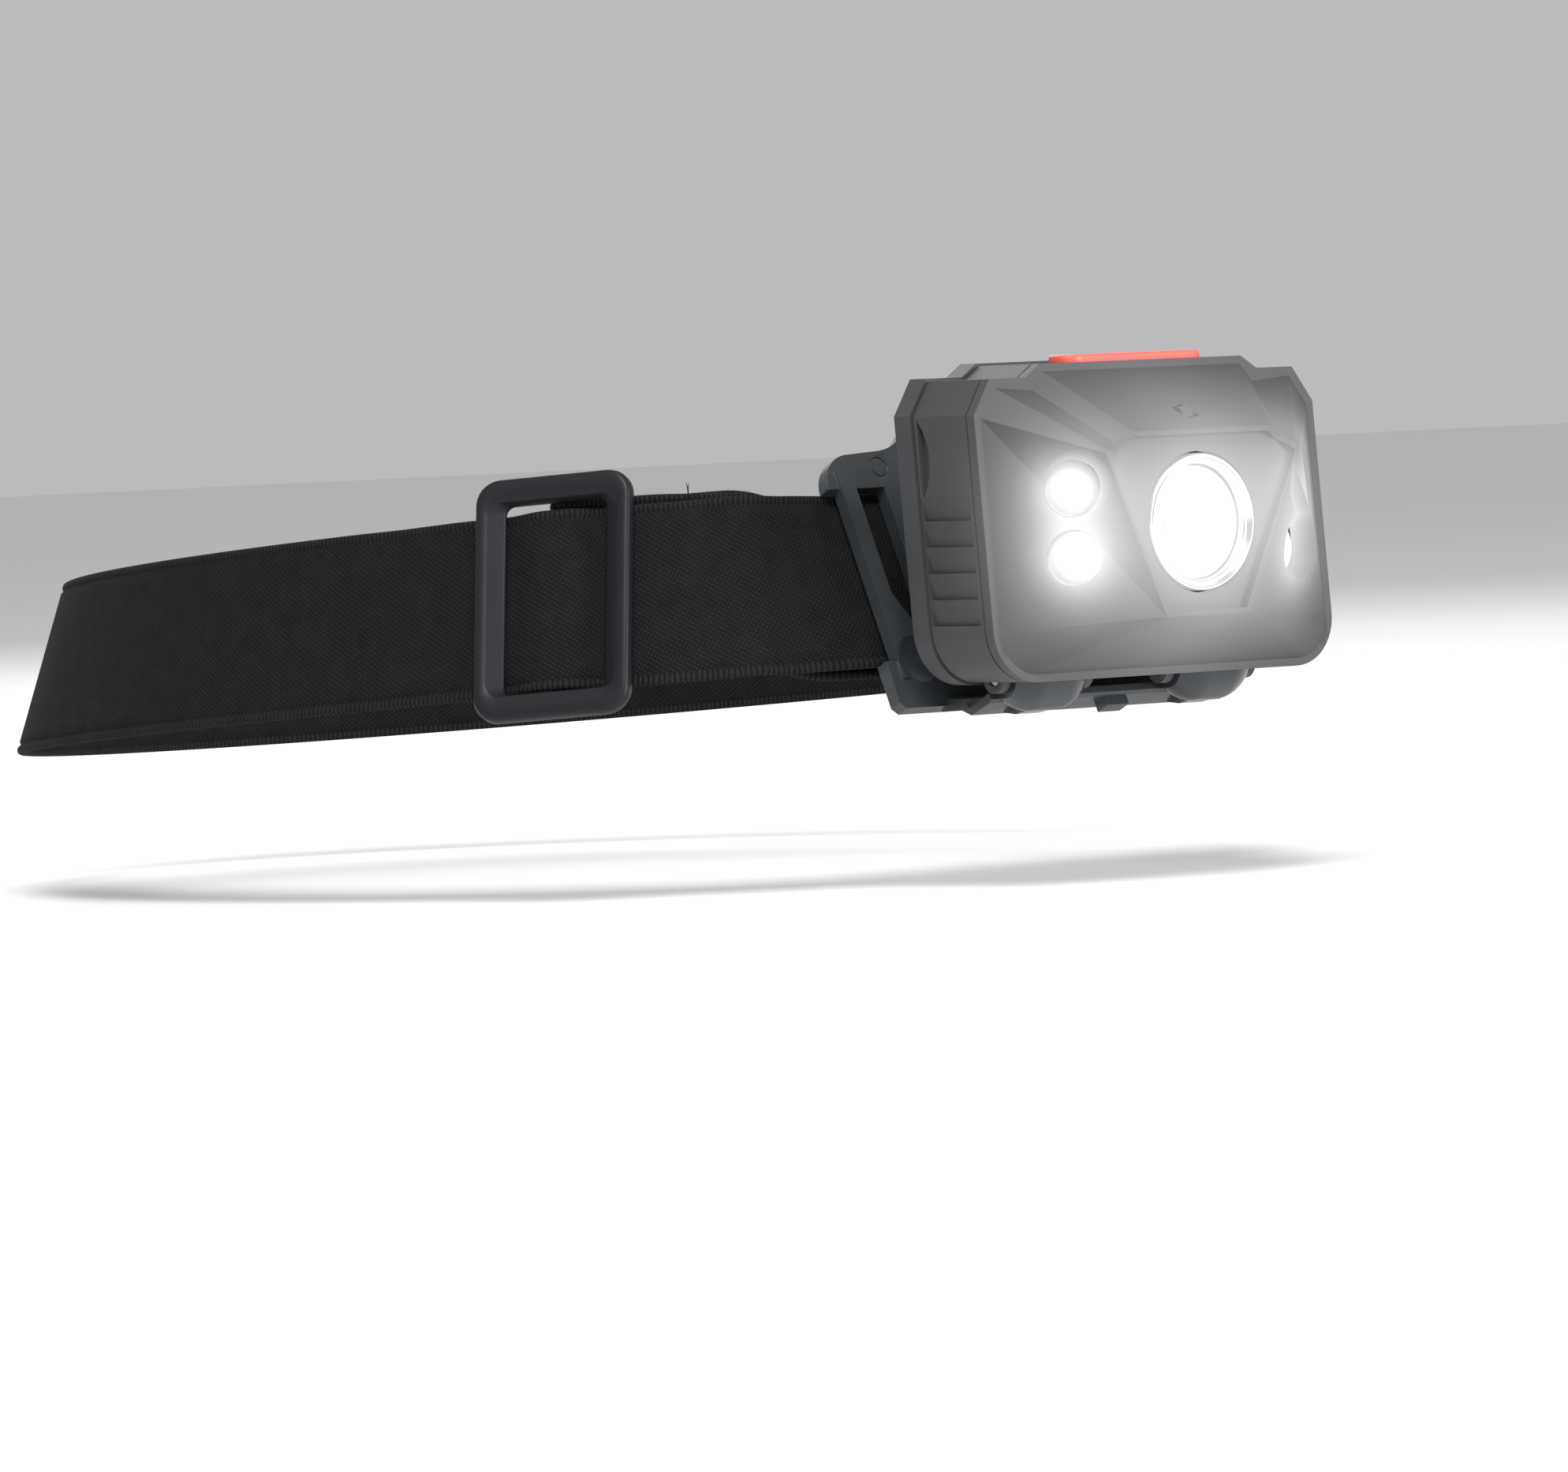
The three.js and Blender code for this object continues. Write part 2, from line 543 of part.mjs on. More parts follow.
function addBracket() {
  const back = PLATE_U + PLATE_T;
  let body = solid(prism(plateOutline(), PLATE_U, back));
  for (const side of [1, -1]) {
    const span = (x0, x1, y0, y1, z0, z1) => solid(side > 0 ? box(x0, x1, y0, y1, z0, z1)
      : box(-x1, -x0, y0, y1, z0, z1));
    body = cut(body, span(23.4, PLATE_HALF_W + 1, PLATE_U - 1, back + 1, SLOT_LOW, SLOT_HIGH));
    const [low, high] = [SLOT_LOW - BAR_FOOT, SLOT_HIGH + BAR_FOOT];
    body = join(body, span(...GUIDE_X, PLATE_U - 0.6, back - 0.6, low, high));
    const flare = prism(polygon(FLARE), PLATE_U - 0.6, back - 0.6);
    body = join(body, solid(side > 0 ? flare : mirrored(flare)));
    const dish = new THREE.SphereGeometry(DISH.radius, 28, 20);
    dish.translate(side * DISH.x, PLATE_U - 0.6 - DISH.radius + DISH.depth, DISH.w);
    body = cut(body, solid(dish), ringGroove(side * 23.2, 41.6));
    const anchorFoot = (from, to) => span(ANCHOR_X - 1.4, ANCHOR_X + 1.4, back - 0.5, 18.6, from, to);
    const feet = [anchorFoot(low, SLOT_LOW - 0.3), anchorFoot(SLOT_HIGH + ANCHOR_CLEAR, high + 0.5)];
    body = join(body, ...feet);
    body = join(body, span(ANCHOR_X - 1.1, ANCHOR_X + 1.1, ...ANCHOR_U, low + 1, high - 0.5));
  }
  const shelf = [[2.5, -1.3], [7.8, -1.3], [8.6, 0.5], [12.2, 2.2], [back, 2.2], [back, 1], [9.6, -1],
    [7.9, -2.6], [3.1, -2.8], [2.5, -2.4]];
  body = join(body, solid(across(shelf, -25, 25)));
  const webProfile = [[0, -1.3], [7.8, -1.3], [8.6, 0.5], [12.2, 2], [back, 1], [9, -1.8], [5.2, -4],
    [0, 0.05 - KNUCKLE_R]];
  for (const side of [1, -1]) {
    const x = side * KNUCKLE_X;
    const web = solid(across(webProfile, x - KNUCKLE_MIDDLE, x + KNUCKLE_MIDDLE));
    body = join(body, knuckle(x), web);
    body = cut(body, solid(bar('x', PIN_R + 0.08, x - KNUCKLE_HALF - 1, x + KNUCKLE_HALF + 1, [0, 0], 24)));
  }
  body = join(body, solid(box(-2.2, 2.2, 3, 5.6, -4.4, -2)));
  add(bracketGroup, 'bracket', body, BRACKET);
  const padShape = new THREE.Shape();
  const [px, p0, p1, r] = [16.5, 7, 41, 4];
  padShape.absarc(px - r, p0 + r, r, -Math.PI / 2, 0, false);
  padShape.absarc(px - r, p1 - r, r, 0, Math.PI / 2, false);
  padShape.absarc(-px + r, p1 - r, r, Math.PI / 2, Math.PI, false);
  padShape.absarc(-px + r, p0 + r, r, Math.PI, 1.5 * Math.PI, false);
  add(bracketGroup, 'rear_pad', prism(padShape, back + SEAM, PAD_BACK), RUBBER);
}
const PAD_MIDDLE_W = 24;

// ---- Strap: a flat band carried along a route; every station has a point and a lean ----
// The oval at an angle in degrees: 90 is the front, 0 the wearer's right, -90 the back
function ovalPoint(angle) {
  const a = THREE.MathUtils.degToRad(angle);
  const y = OVAL_Y - OVAL_B * Math.sin(a);
  return new THREE.Vector3(-OVAL_A * Math.cos(a), y, STRAP_Z - STRAP_SLOPE * (y - 41));
}

const STRAP_MID_W = 23.9;

function bracketStation(x, u) {
  return { point: fromBracket(x, u, STRAP_MID_W), lean: LEAN };
}

function ovalStations(from, to, count) {
  return Array.from({ length: count + 1 }, (_, i) => {
    const angle = from + (to - from) * (i / count);
    return { point: ovalPoint(angle), lean: STRAP_LEAN, angle };
  });
}

// How far the band stands out near the slider, where it passes over the middle bar
const OVER_BAR = 3;
const UNDER_FRAME = 1.5;

function standOut({ angle }) {
  if (angle === undefined) return 0;
  const away = Math.abs(angle - SLIDER_ANGLE);
  if (away < 4) return THREE.MathUtils.lerp(OVER_BAR, UNDER_FRAME, THREE.MathUtils.smoothstep(away, 0.8, 4));
  return UNDER_FRAME * (1 - THREE.MathUtils.smoothstep(away, 7.4, 16));
}

// Frames along a route: tangent, outward normal tipped up by the lean, and the band's up
function framesAlong(stations) {
  const centre = new THREE.Vector3(0, OVAL_Y, 0);
  return stations.map(({ point, lean: tip }, i) => {
    const before = stations[Math.max(i - 1, 0)].point;
    const after = stations[Math.min(i + 1, stations.length - 1)].point;
    const tangent = after.clone().sub(before).normalize();
    const flat = new THREE.Vector3(-tangent.y, tangent.x, 0).normalize();
    if (flat.dot(point.clone().sub(centre)) < 0) flat.negate();
    const up = new THREE.Vector3(0, 0, Math.cos(tip)).addScaledVector(flat, -Math.sin(tip));
    const normal = up.clone().cross(tangent).normalize();
    if (normal.dot(flat) < 0) normal.negate();
    const across = tangent.clone().cross(normal);
    return { point, normal, up: across.multiplyScalar(Math.sign(across.dot(up))) };
  });
}

// Closed band: a width by thickness rectangle at each frame, moved out by offset(station, i)
function bandGeometry(stations, offset) {
  const rings = framesAlong(stations).map(({ point, normal, up }, i) => {
    const middle = point.clone().addScaledVector(normal, offset(stations[i], i));
    return [[1, 1], [1, -1], [-1, -1], [-1, 1]].map(([a, b]) => middle.clone()
      .addScaledVector(up, a * STRAP_W / 2).addScaledVector(normal, b * STRAP_T / 2));
  });
  const triangles = [];
  const quad = (a, b, c, d) => triangles.push(a, b, c, a, c, d);
  for (let i = 0; i + 1 < rings.length; i++) {
    for (let k = 0; k < 4; k++) {
      const next = (k + 1) % 4;
      quad(rings[i][k], rings[i][next], rings[i + 1][next], rings[i + 1][k]);
    }
  }
  const last = rings[rings.length - 1];
  quad(rings[0][3], rings[0][2], rings[0][1], rings[0][0]);
  quad(last[0], last[1], last[2], last[3]);
  const geometry = new THREE.BufferGeometry().setFromPoints(triangles);
  return signedVolume(triangles) > 0 ? geometry : turnedOver(geometry);
}

function signedVolume(points) {
  let sum = 0;
  for (let i = 0; i < points.length; i += 3) sum += points[i].dot(points[i + 1].clone().cross(points[i + 2]));
  return sum;
}

const LAYER_U = 15.3;         // outer layer, in front of the anchor bar
const RETURN_U = 19.5;        // inner layer, behind it

function addStrap() {
  const leave = 58;           // oval angle where the band leaves the bracket
  const rightFront = [-24, -29, -34, -38].map((x) => bracketStation(x, LAYER_U));
  const leftFront = [38, 34, 29, 24].map((x) => bracketStation(x, LAYER_U));
  const pastSlider = SLIDER_ANGLE - 18;
  const near = ovalStations(leave, pastSlider, 30);
  const around = ovalStations(pastSlider, -180 - leave, 60).slice(1);
  const route = [...rightFront, ...near, ...around, ...leftFront];
  add(strapGroup, 'strap_band', bandGeometry(route, standOut), WEBBING);
  const inner = (side, endAngle, count) => {
    const start = [24, 29, 34, 38].map((x) => bracketStation(-side * x, RETURN_U));
    const from = side > 0 ? 56 : -236;
    return [...start, ...ovalStations(from, side > 0 ? endAngle : -180 - endAngle, count)];
  };
  const settle = (_, i) => (i < 4 ? 0 : -1.8 - 1.6 * Math.max(0, 1 - (i - 4) / 6));
  add(strapGroup, 'strap_return', bandGeometry(inner(1, SLIDER_ANGLE - 2, 8), settle), WEBBING);
  add(strapGroup, 'strap_sewn_end', bandGeometry(inner(-1, 44, 5), settle), WEBBING);
}

// ---- Slider: a frame with a middle bar, set tangent to the band ----
function roundedRect(w, h, r) {
  const shape = new THREE.Shape();
  shape.absarc(w / 2 - r, -h / 2 + r, r, -Math.PI / 2, 0, false);
  shape.absarc(w / 2 - r, h / 2 - r, r, 0, Math.PI / 2, false);
  shape.absarc(-w / 2 + r, h / 2 - r, r, Math.PI / 2, Math.PI, false);
  shape.absarc(-w / 2 + r, -h / 2 + r, r, Math.PI, 1.5 * Math.PI, false);
  return shape;
}

function addSlider() {
  const [width, height, thick] = [25.4, 38.9, 2.6];
  const standOff = 3.5;       // from the band's middle line to the frame's
  const barDepth = 3;         // the middle bar lies this far in towards the head
  const outer = solid(prism(roundedRect(width, height, 4), -thick / 2, thick / 2));
  const window = solid(prism(roundedRect(width - 8, height - 8.4, 1.6), -thick, thick));
  const middle = solid(box(-1.4, 1.4, barDepth - 0.6, barDepth + 0.6, -height / 2 + 2, height / 2 - 2));
  const foot = (z) => solid(box(-1.4, 1.4, 0, barDepth + 0.6, z - 0.9, z + 0.9));
  const footZ = height / 2 - 2.9;
  const body = join(cut(outer, window), middle, foot(footZ), foot(-footZ));
  const slider = add(strapGroup, 'slider', body, BLACK);
  const [, frame] = framesAlong(ovalStations(SLIDER_ANGLE + 4, SLIDER_ANGLE - 4, 2));
  const out = frame.normal.clone().negate();
  const side = out.clone().cross(frame.up).normalize();
  const turn = new THREE.Matrix4().makeBasis(side, out, frame.up);
  slider.quaternion.setFromRotationMatrix(turn);
  slider.position.copy(frame.point).addScaledVector(frame.normal, standOff);
}

addBezel();
addMainLight();
addSideLights();
addHousing();
addCover();
addBatteries();
addButton();
addPins();
addBracket();
addStrap();
addSlider();

// The part's origin is the middle of the pad's rear face
headlamp.position.copy(fromBracket(0, PAD_BACK, PAD_MIDDLE_W)).negate();

export default headlamp;
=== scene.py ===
# %% [markdown]
# A headlamp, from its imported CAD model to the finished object.
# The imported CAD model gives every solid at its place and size. This lesson turns it into something
# that looks moulded, woven and lit: softened shells, one long elastic strap, a slider and the lights.
# Lengths are in metres, +Z is up, and the lamp shines towards -Y.

# %% Load the frame
import json
from math import cos, pi, radians, sin

import bmesh
import bpy
import numpy as np
from mathutils import Matrix, Vector


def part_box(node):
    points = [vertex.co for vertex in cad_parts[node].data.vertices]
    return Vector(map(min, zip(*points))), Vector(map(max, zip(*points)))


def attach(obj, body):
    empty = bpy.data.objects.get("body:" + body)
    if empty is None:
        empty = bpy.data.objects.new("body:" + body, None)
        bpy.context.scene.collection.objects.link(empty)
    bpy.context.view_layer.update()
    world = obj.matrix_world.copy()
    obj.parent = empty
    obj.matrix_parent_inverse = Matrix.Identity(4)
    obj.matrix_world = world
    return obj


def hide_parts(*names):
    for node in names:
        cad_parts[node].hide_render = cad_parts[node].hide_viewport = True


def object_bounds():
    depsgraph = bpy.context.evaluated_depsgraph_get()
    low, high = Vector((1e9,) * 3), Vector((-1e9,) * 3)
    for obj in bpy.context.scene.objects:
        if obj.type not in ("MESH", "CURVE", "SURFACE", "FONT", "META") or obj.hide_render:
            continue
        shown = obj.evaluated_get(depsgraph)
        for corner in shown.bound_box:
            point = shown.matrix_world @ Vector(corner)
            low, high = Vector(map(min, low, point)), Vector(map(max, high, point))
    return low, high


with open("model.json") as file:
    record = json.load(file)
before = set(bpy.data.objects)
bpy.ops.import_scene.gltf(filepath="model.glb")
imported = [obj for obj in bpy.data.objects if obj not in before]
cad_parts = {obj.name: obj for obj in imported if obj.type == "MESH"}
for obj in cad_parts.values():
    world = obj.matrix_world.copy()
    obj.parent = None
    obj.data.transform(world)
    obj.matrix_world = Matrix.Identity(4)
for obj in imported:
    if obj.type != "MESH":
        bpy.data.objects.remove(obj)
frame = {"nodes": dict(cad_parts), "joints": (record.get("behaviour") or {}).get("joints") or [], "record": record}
CAD_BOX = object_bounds()
MM = 0.001
HINGE = next(j for j in frame["joints"] if j["name"] == "lamp_tilt")["pos_m"]
print("nodes", len(frame["nodes"]), "hinge at", [round(v, 4) for v in HINGE])

# %% [markdown]
# First come six small helpers. A node helper keeps each material readable as a list of steps:
# a value that is a socket is linked, and any other value is set on the socket itself.

# %% Node helpers


def node(tree, kind, settings=None, **inputs):
    """Adds one shader node; i0, i1 name an input by number, other names by its label."""
    made = tree.nodes.new(kind)
    for key, value in (settings or {}).items():
        setattr(made, key, value)
    for key, value in inputs.items():
        number = key[1:] if key[0] == "i" and key[1:].isdigit() else None
        socket = made.inputs[int(number)] if number else made.inputs[key.replace("_", " ")]
        if isinstance(value, bpy.types.NodeSocket):
            tree.links.new(value, socket)
        else:
            socket.default_value = value
    return made


def calc(tree, operation, a, b=0.0, c=0.0):
    """One Math node: a, b and c are numbers or sockets."""
    return node(tree, "ShaderNodeMath", {"operation": operation}, i0=a, i1=b, i2=c).outputs[0]


def noise(tree, where, scale, detail=3.0):
    """Noise with its features about 1/scale metres across."""
    return node(tree, "ShaderNodeTexNoise", Vector=where, Scale=scale, Detail=detail).outputs["Fac"]


def between(tree, factor, low, high):
    """A value or colour that runs from low to high as the factor runs from 0 to 1."""
    if isinstance(low, (tuple, list)):
        colors = {"i6": (*low, 1), "i7": (*high, 1)}
        return node(tree, "ShaderNodeMix", {"data_type": "RGBA"}, i0=factor, **colors).outputs[2]
    return node(tree, "ShaderNodeMapRange", Value=factor, To_Min=low, To_Max=high).outputs[0]


def new_material(name, roughness=0.5, metallic=0.0, **constants):
    """A Principled material; constant values go straight on the shader's sockets."""
    material = bpy.data.materials.new(name)
    material.use_nodes = True
    shader = material.node_tree.nodes["Principled BSDF"]
    shader.inputs["Roughness"].default_value = roughness
    shader.inputs["Metallic"].default_value = metallic
    for key, value in constants.items():
        shader.inputs[key.replace("_", " ")].default_value = value
    return material, material.node_tree, shader


def finish_with(tree, shader, color=None, roughness=None, height=None, depth=0.0001):
    """Links colour, roughness and a bump of the given depth in metres to the shader."""
    if color is not None:
        tree.links.new(color, shader.inputs["Base Color"])
    if roughness is not None:
        tree.links.new(roughness, shader.inputs["Roughness"])
    if height is not None:
        bump = node(tree, "ShaderNodeBump", Strength=1.0, Distance=depth, Height=height)
        tree.links.new(bump.outputs[0], shader.inputs["Normal"])


# %% [markdown]
# The lamp's casing is one plastic: satin gunmetal grey with a very fine spark-eroded grain.
# Its lights are switched on. The glare round each lens is painted onto the plastic as a glow, an
# emission that is painted light, worked out from the distance to each light in the object's own
# coordinates, so it stays in place from every side and at every tilt.

# %% Where the lights are
SIDE_LENSES = [f"side_lens_{row}_{side}" for side in ("left", "right") for row in ("upper", "lower")]


def middle(name):
    """Middle of a CAD node's box."""
    low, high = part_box(name)
    return (low + high) / 2


# (place, reach, strength) of each painted glare; a side lens has a tight one and a wide one
PAINTED_GLARE_SPOTS = [(middle("main_lens"), 16.5 * MM, 0.58)]
for lens in SIDE_LENSES:
    PAINTED_GLARE_SPOTS += [(middle(lens), 4.8 * MM, 0.62), (middle(lens), 9.2 * MM, 0.34)]
print("main light at", [round(v, 4) for v in PAINTED_GLARE_SPOTS[0][0]])


# %% [markdown]
# Each light's painted glare falls off as a bell curve, and the glares add up into an emission on
# the plastic, painted light. The plastics share one recipe, and differ in colour, gloss and grain.

# %% The moulded plastics


def painted_spill(tree, where):
    """Painted glare, used as emission: sum over the lights of strength * exp(-(distance / reach)^2)."""
    total = 0.0
    for place, reach, strength in PAINTED_GLARE_SPOTS:
        away = node(tree, "ShaderNodeVectorMath", {"operation": "DISTANCE"}, i0=where, i1=place)
        share = calc(tree, "DIVIDE", away.outputs["Value"], reach)
        fall = calc(tree, "EXPONENT", calc(tree, "MULTIPLY", calc(tree, "POWER", share, 2.0), -1.0))
        total = calc(tree, "MULTIPLY_ADD", fall, strength, total)
    return total


def moulded(name, dark, light, roughness, grain, paints_glow=False, streaks=40.0, shine=0.3, **constants):
    """Moulded plastic: cloudy colour, patchy gloss, a fine grain about 0.15 mm across, and an optional painted
    glow of the lights' glare.
    """
    material, tree, shader = new_material(name, **constants)
    shader.inputs["Specular IOR Level"].default_value = shine
    where = node(tree, "ShaderNodeTexCoord").outputs["Object"]
    cloud = noise(tree, where, streaks, 5.0)
    speckle = noise(tree, where, 5500.0, 2.0)
    color = between(tree, calc(tree, "MULTIPLY_ADD", speckle, 0.25, calc(tree, "MULTIPLY", cloud, 0.75)),
                    dark, light)
    gloss = between(tree, cloud, roughness - 0.06, roughness + 0.06)
    finish_with(tree, shader, color, gloss, speckle, grain)
    # painted light: the plastic emits the painted glare round the lenses, though it is no lamp
    if paints_glow:
        shader.inputs["Emission Color"].default_value = (1.0, 1.0, 1.0, 1.0)
        tree.links.new(painted_spill(tree, where), shader.inputs["Emission Strength"])
    return material


# the casing and the smoked window glow with the painted glare of the lights
CASING = moulded("casing_plastic", (0.036, 0.037, 0.039), (0.062, 0.063, 0.067), 0.50, 0.00002, paints_glow=True)
SMOKED = moulded("smoked_window", (0.020, 0.021, 0.022), (0.034, 0.035, 0.037), 0.35, 0.00001, paints_glow=True)
BRACKET = moulded("bracket_plastic", (0.015, 0.018, 0.021), (0.050, 0.058, 0.064), 0.26, 0.000010,
                  streaks=110.0, shine=0.5)
SLIDER = moulded("slider_plastic", (0.007, 0.007, 0.010), (0.013, 0.013, 0.018), 0.40, 0.000014,
                 shine=0.22)
# red plastic, its colour lifted towards pink to paint in the haze of the lights' glare
BUTTON = moulded("button_plastic", (0.66, 0.095, 0.070), (0.76, 0.135, 0.105), 0.42, 0.000015,
                 Coat_Weight=0.15)
print("plastics", [m.name for m in (CASING, SMOKED, BRACKET, SLIDER, BUTTON)])

# %% [markdown]
# A moulded shell has no knife edges. A softened copy of the CAD solid gives that: its loose
# triangles are merged, flat areas are divided again as simply as they can be, and a narrow Bevel
# rounds the edges that turn sharply. A flat area with a hole in it must not stay one face, since it
# would then be drawn straight across the hole. The Bevel may not overlap itself, so narrow triangles
# hold the rounding back to a small part of the width asked for. Weighted normals keep the flat areas
# flat. The copy stands for the CAD node, which stays hidden for the motion tests.

# %% Softened shells


def softened(node_name, name, body, material, slot, width=0.25 * MM, angle=28.0, segments=2,
             pairs=False):
    """A copy of a CAD solid with its edges rounded by a Bevel; pairs only joins triangles by twos."""
    mesh = bpy.data.meshes.new(name)
    work = bmesh.new()
    work.from_mesh(frame["nodes"][node_name].data)
    bmesh.ops.remove_doubles(work, verts=work.verts, dist=2e-6)
    if pairs:
        bmesh.ops.join_triangles(work, faces=work.faces, angle_face_threshold=radians(0.6),
                                 angle_shape_threshold=radians(180))
    else:
        bmesh.ops.dissolve_limit(work, angle_limit=radians(0.6), verts=work.verts, edges=work.edges)
        bmesh.ops.triangulate(work, faces=work.faces)
    for face in work.faces:
        face.smooth = True
    work.to_mesh(mesh)
    work.free()
    piece = bpy.data.objects.new(name, mesh)
    bpy.context.scene.collection.objects.link(piece)
    bevel = piece.modifiers.new("rounded edges", "BEVEL")
    bevel.width = width
    bevel.segments = segments
    bevel.limit_method = "ANGLE"
    bevel.angle_limit = radians(angle)
    bevel.use_clamp_overlap = True
    bevel.miter_outer = "MITER_ARC"
    piece.modifiers.new("flat areas stay flat", "WEIGHTED_NORMAL").keep_sharp = False
    settle(piece, body, material, slot, node_name)
    print(name, "faces", len(mesh.polygons))
    return piece


def settle(piece, body, material, slot, *stands_for):
    """Gives a piece its material and its body (slot is not used); it stands for the CAD nodes named."""
    piece.data.materials.clear()
    piece.data.materials.append(material)
    if stands_for:
        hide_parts(*stands_for)
    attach(piece, body)
    return piece


softened("front_bezel", "bezel_shell", "lamp_head", CASING, "casing")
softened("housing", "housing_shell", "lamp_head", CASING, "casing", pairs=True)
softened("battery_cover", "cover_shell", "lamp_head", CASING, "casing", width=0.4 * MM)
softened("bracket", "bracket_shell", "bracket_assembly", BRACKET, "bracket_plastic", width=0.55 * MM,
         segments=3)
softened("power_button", "button_cap", "power_button", BUTTON, "button", width=0.15 * MM)
PAD = moulded("pad_rubber", (0.010, 0.010, 0.011), (0.020, 0.020, 0.021), 0.75, 0.00006, shine=0.2)
softened("rear_pad", "pad_cushion", "bracket_assembly", PAD, "rubber", width=1.1 * MM, segments=4)

# %% [markdown]
# The strap is one long piece of woven elastic. It starts as a loop sewn round the slider's middle
# bar, runs inside to the bracket, turns round the anchor bar, comes back outside, passes over the
# slider's middle bar, goes round the head and ends sewn round the other anchor bar.
# A physics simulation would only blur a route that is pulled tight everywhere, so the route is
# worked out: a base line round the head, and over it a list of how far out each layer lies.

# %% The base line round the head
LEAN_BRACKET = radians(25)
LEAN_STRAP = radians(18)
HALF_ACROSS, HALF_ALONG = 88.5 * MM, 110.5 * MM
OVAL_Y = HINGE[1] + 121.7 * MM
SLOPE = 0.069
LAYER_U, LAYER_W = 15.3 * MM, 23.9 * MM
LEAVE = 58.0
WEB_W, WEB_T = 29.0 * MM, 1.2 * MM
STEP = 0.42 * MM


def bracket_point(x, u, w):
    """Bracket coordinates (x across, u back, w up the leaning plate) in the frame."""
    y = HINGE[1] + u * cos(LEAN_BRACKET) + w * sin(LEAN_BRACKET)
    z = HINGE[2] - u * sin(LEAN_BRACKET) + w * cos(LEAN_BRACKET)
    return np.stack([x, np.full_like(x, y), np.full_like(x, z)], 1)


def oval_point(degrees):
    """An ellipse seen from above, 90 at the front and 0 on the wearer's right, falling to the back."""
    a = np.radians(degrees)
    y = OVAL_Y - HALF_ALONG * np.sin(a)
    z = HINGE[2] + 16.0 * MM - SLOPE * (y - HINGE[1] - 20.7 * MM)
    return np.stack([-HALF_ACROSS * np.cos(a), y, z], 1)


def blurred(values, sigma):
    """Running average with bell-shaped weights, sigma in samples; the ends keep their place."""
    reach = int(3 * sigma)
    weights = np.exp(-0.5 * (np.arange(-reach, reach + 1) / sigma) ** 2)
    padded = np.pad(values, [(reach, reach)] + [(0, 0)] * (values.ndim - 1), mode="edge")
    padded[:reach] = 2 * values[0] - values[1 : reach + 1][::-1]
    padded[-reach:] = 2 * values[-1] - values[-reach - 1 : -1][::-1]
    kernel = weights / weights.sum()
    columns = padded.reshape(len(padded), -1).T
    return np.stack([np.convolve(c, kernel, "valid") for c in columns], 1).reshape(values.shape)


def unit(vectors):
    return vectors / np.linalg.norm(vectors, axis=1, keepdims=True)


def resampled(points, step):
    """The same line with even steps; returns the new points and each one's length along it."""
    ends = np.concatenate([[0], np.cumsum(np.linalg.norm(np.diff(points, axis=0), axis=1))])
    along = np.linspace(0, ends[-1], int(round(ends[-1] / step)) + 1)
    return np.stack([np.interp(along, ends, c) for c in points.T], 1), along


INNER_X, OUTER_X = 12 * MM, 37 * MM
FRONT_COUNT, ROUND_COUNT = 40, 1500
front = np.linspace(INNER_X, OUTER_X, FRONT_COUNT)
line = np.concatenate([
    bracket_point(-front, LAYER_U, LAYER_W),
    oval_point(np.linspace(LEAVE, -180 - LEAVE, ROUND_COUNT)),
    bracket_point(front[::-1], LAYER_U, LAYER_W),
])
front_lean = np.full(FRONT_COUNT, LEAN_BRACKET)
lean = np.concatenate([front_lean, np.full(ROUND_COUNT, LEAN_STRAP), front_lean])
ends = np.concatenate([[0], np.cumsum(np.linalg.norm(np.diff(line, axis=0), axis=1))])
base, base_s = resampled(line, STEP)
base_lean = blurred(np.interp(base_s, ends, lean), 14)
base = blurred(base, 9)
tangent = unit(np.gradient(base, axis=0))
outward = unit(np.stack([-tangent[:, 1], tangent[:, 0], np.zeros(len(base))], 1))
outward *= np.sign(np.sum(outward * (base - [0, OVAL_Y, 0]), axis=1, keepdims=True))
band_up = np.array([0, 0, 1.0]) * np.cos(base_lean)[:, None] - outward * np.sin(base_lean)[:, None]
band_up = unit(band_up - tangent * np.sum(band_up * tangent, axis=1, keepdims=True))
band_out = np.cross(band_up, tangent)
band_out *= np.sign(np.sum(band_out * outward, axis=1, keepdims=True))
LENGTH = base_s[-1]
print("base line", round(LENGTH, 4), "m in", len(base), "stations")

# %% [markdown]
# A layer is a path over the base line: how far along (s), how far out (n) and how far up (h).
# Where the webbing turns round a bar, s and n follow a half circle. The path is then carried into
# space, and the webbing's section is carried along it.

# %% The route of the webbing
ANCHOR_S = 20.5 * MM - INNER_X
FAR_ANCHOR_S = LENGTH - ANCHOR_S
ANCHOR_TURN = 2.1 * MM
SLIDER_ANGLE = 39.4
slider_index = int(np.argmin(np.linalg.norm(base - oval_point(np.array([SLIDER_ANGLE])), axis=1)))
SLIDER_S = base_s[slider_index]
BAR_N, BAR_TURN = 0.25 * MM, 1.25 * MM
TAB_L = 31.0 * MM
FAR_TAB_L = 44.0 * MM


def eased(s, knots):
    """Smooth steps through (place, value) pairs."""
    places, values = np.array(knots).T
    i = np.clip(np.searchsorted(places, s) - 1, 0, len(places) - 2)
    t = np.clip((s - places[i]) / (places[i + 1] - places[i]), 0, 1)
    return values[i] + (values[i + 1] - values[i]) * t * t * (3 - 2 * t)


def leg(start, end, knots, up_knots):
    """A stretch of the path from start to end; the knots give n and h by their place along it."""
    s = np.linspace(start, end, max(int(abs(end - start) / STEP), 2))[1:]
    return np.stack([s, eased(s, knots), eased(s, up_knots)], 1)


def turn(s, n, radius, side, begin, up=0.0):
    """A half circle round a bar at (s, n); side is +1 past the bar, begin +1 from its outer side."""
    phi = np.linspace(0, pi, 14)
    return np.stack([s + side * radius * np.sin(phi), n + begin * radius * np.cos(phi),
                     np.full_like(phi, up)], 1)


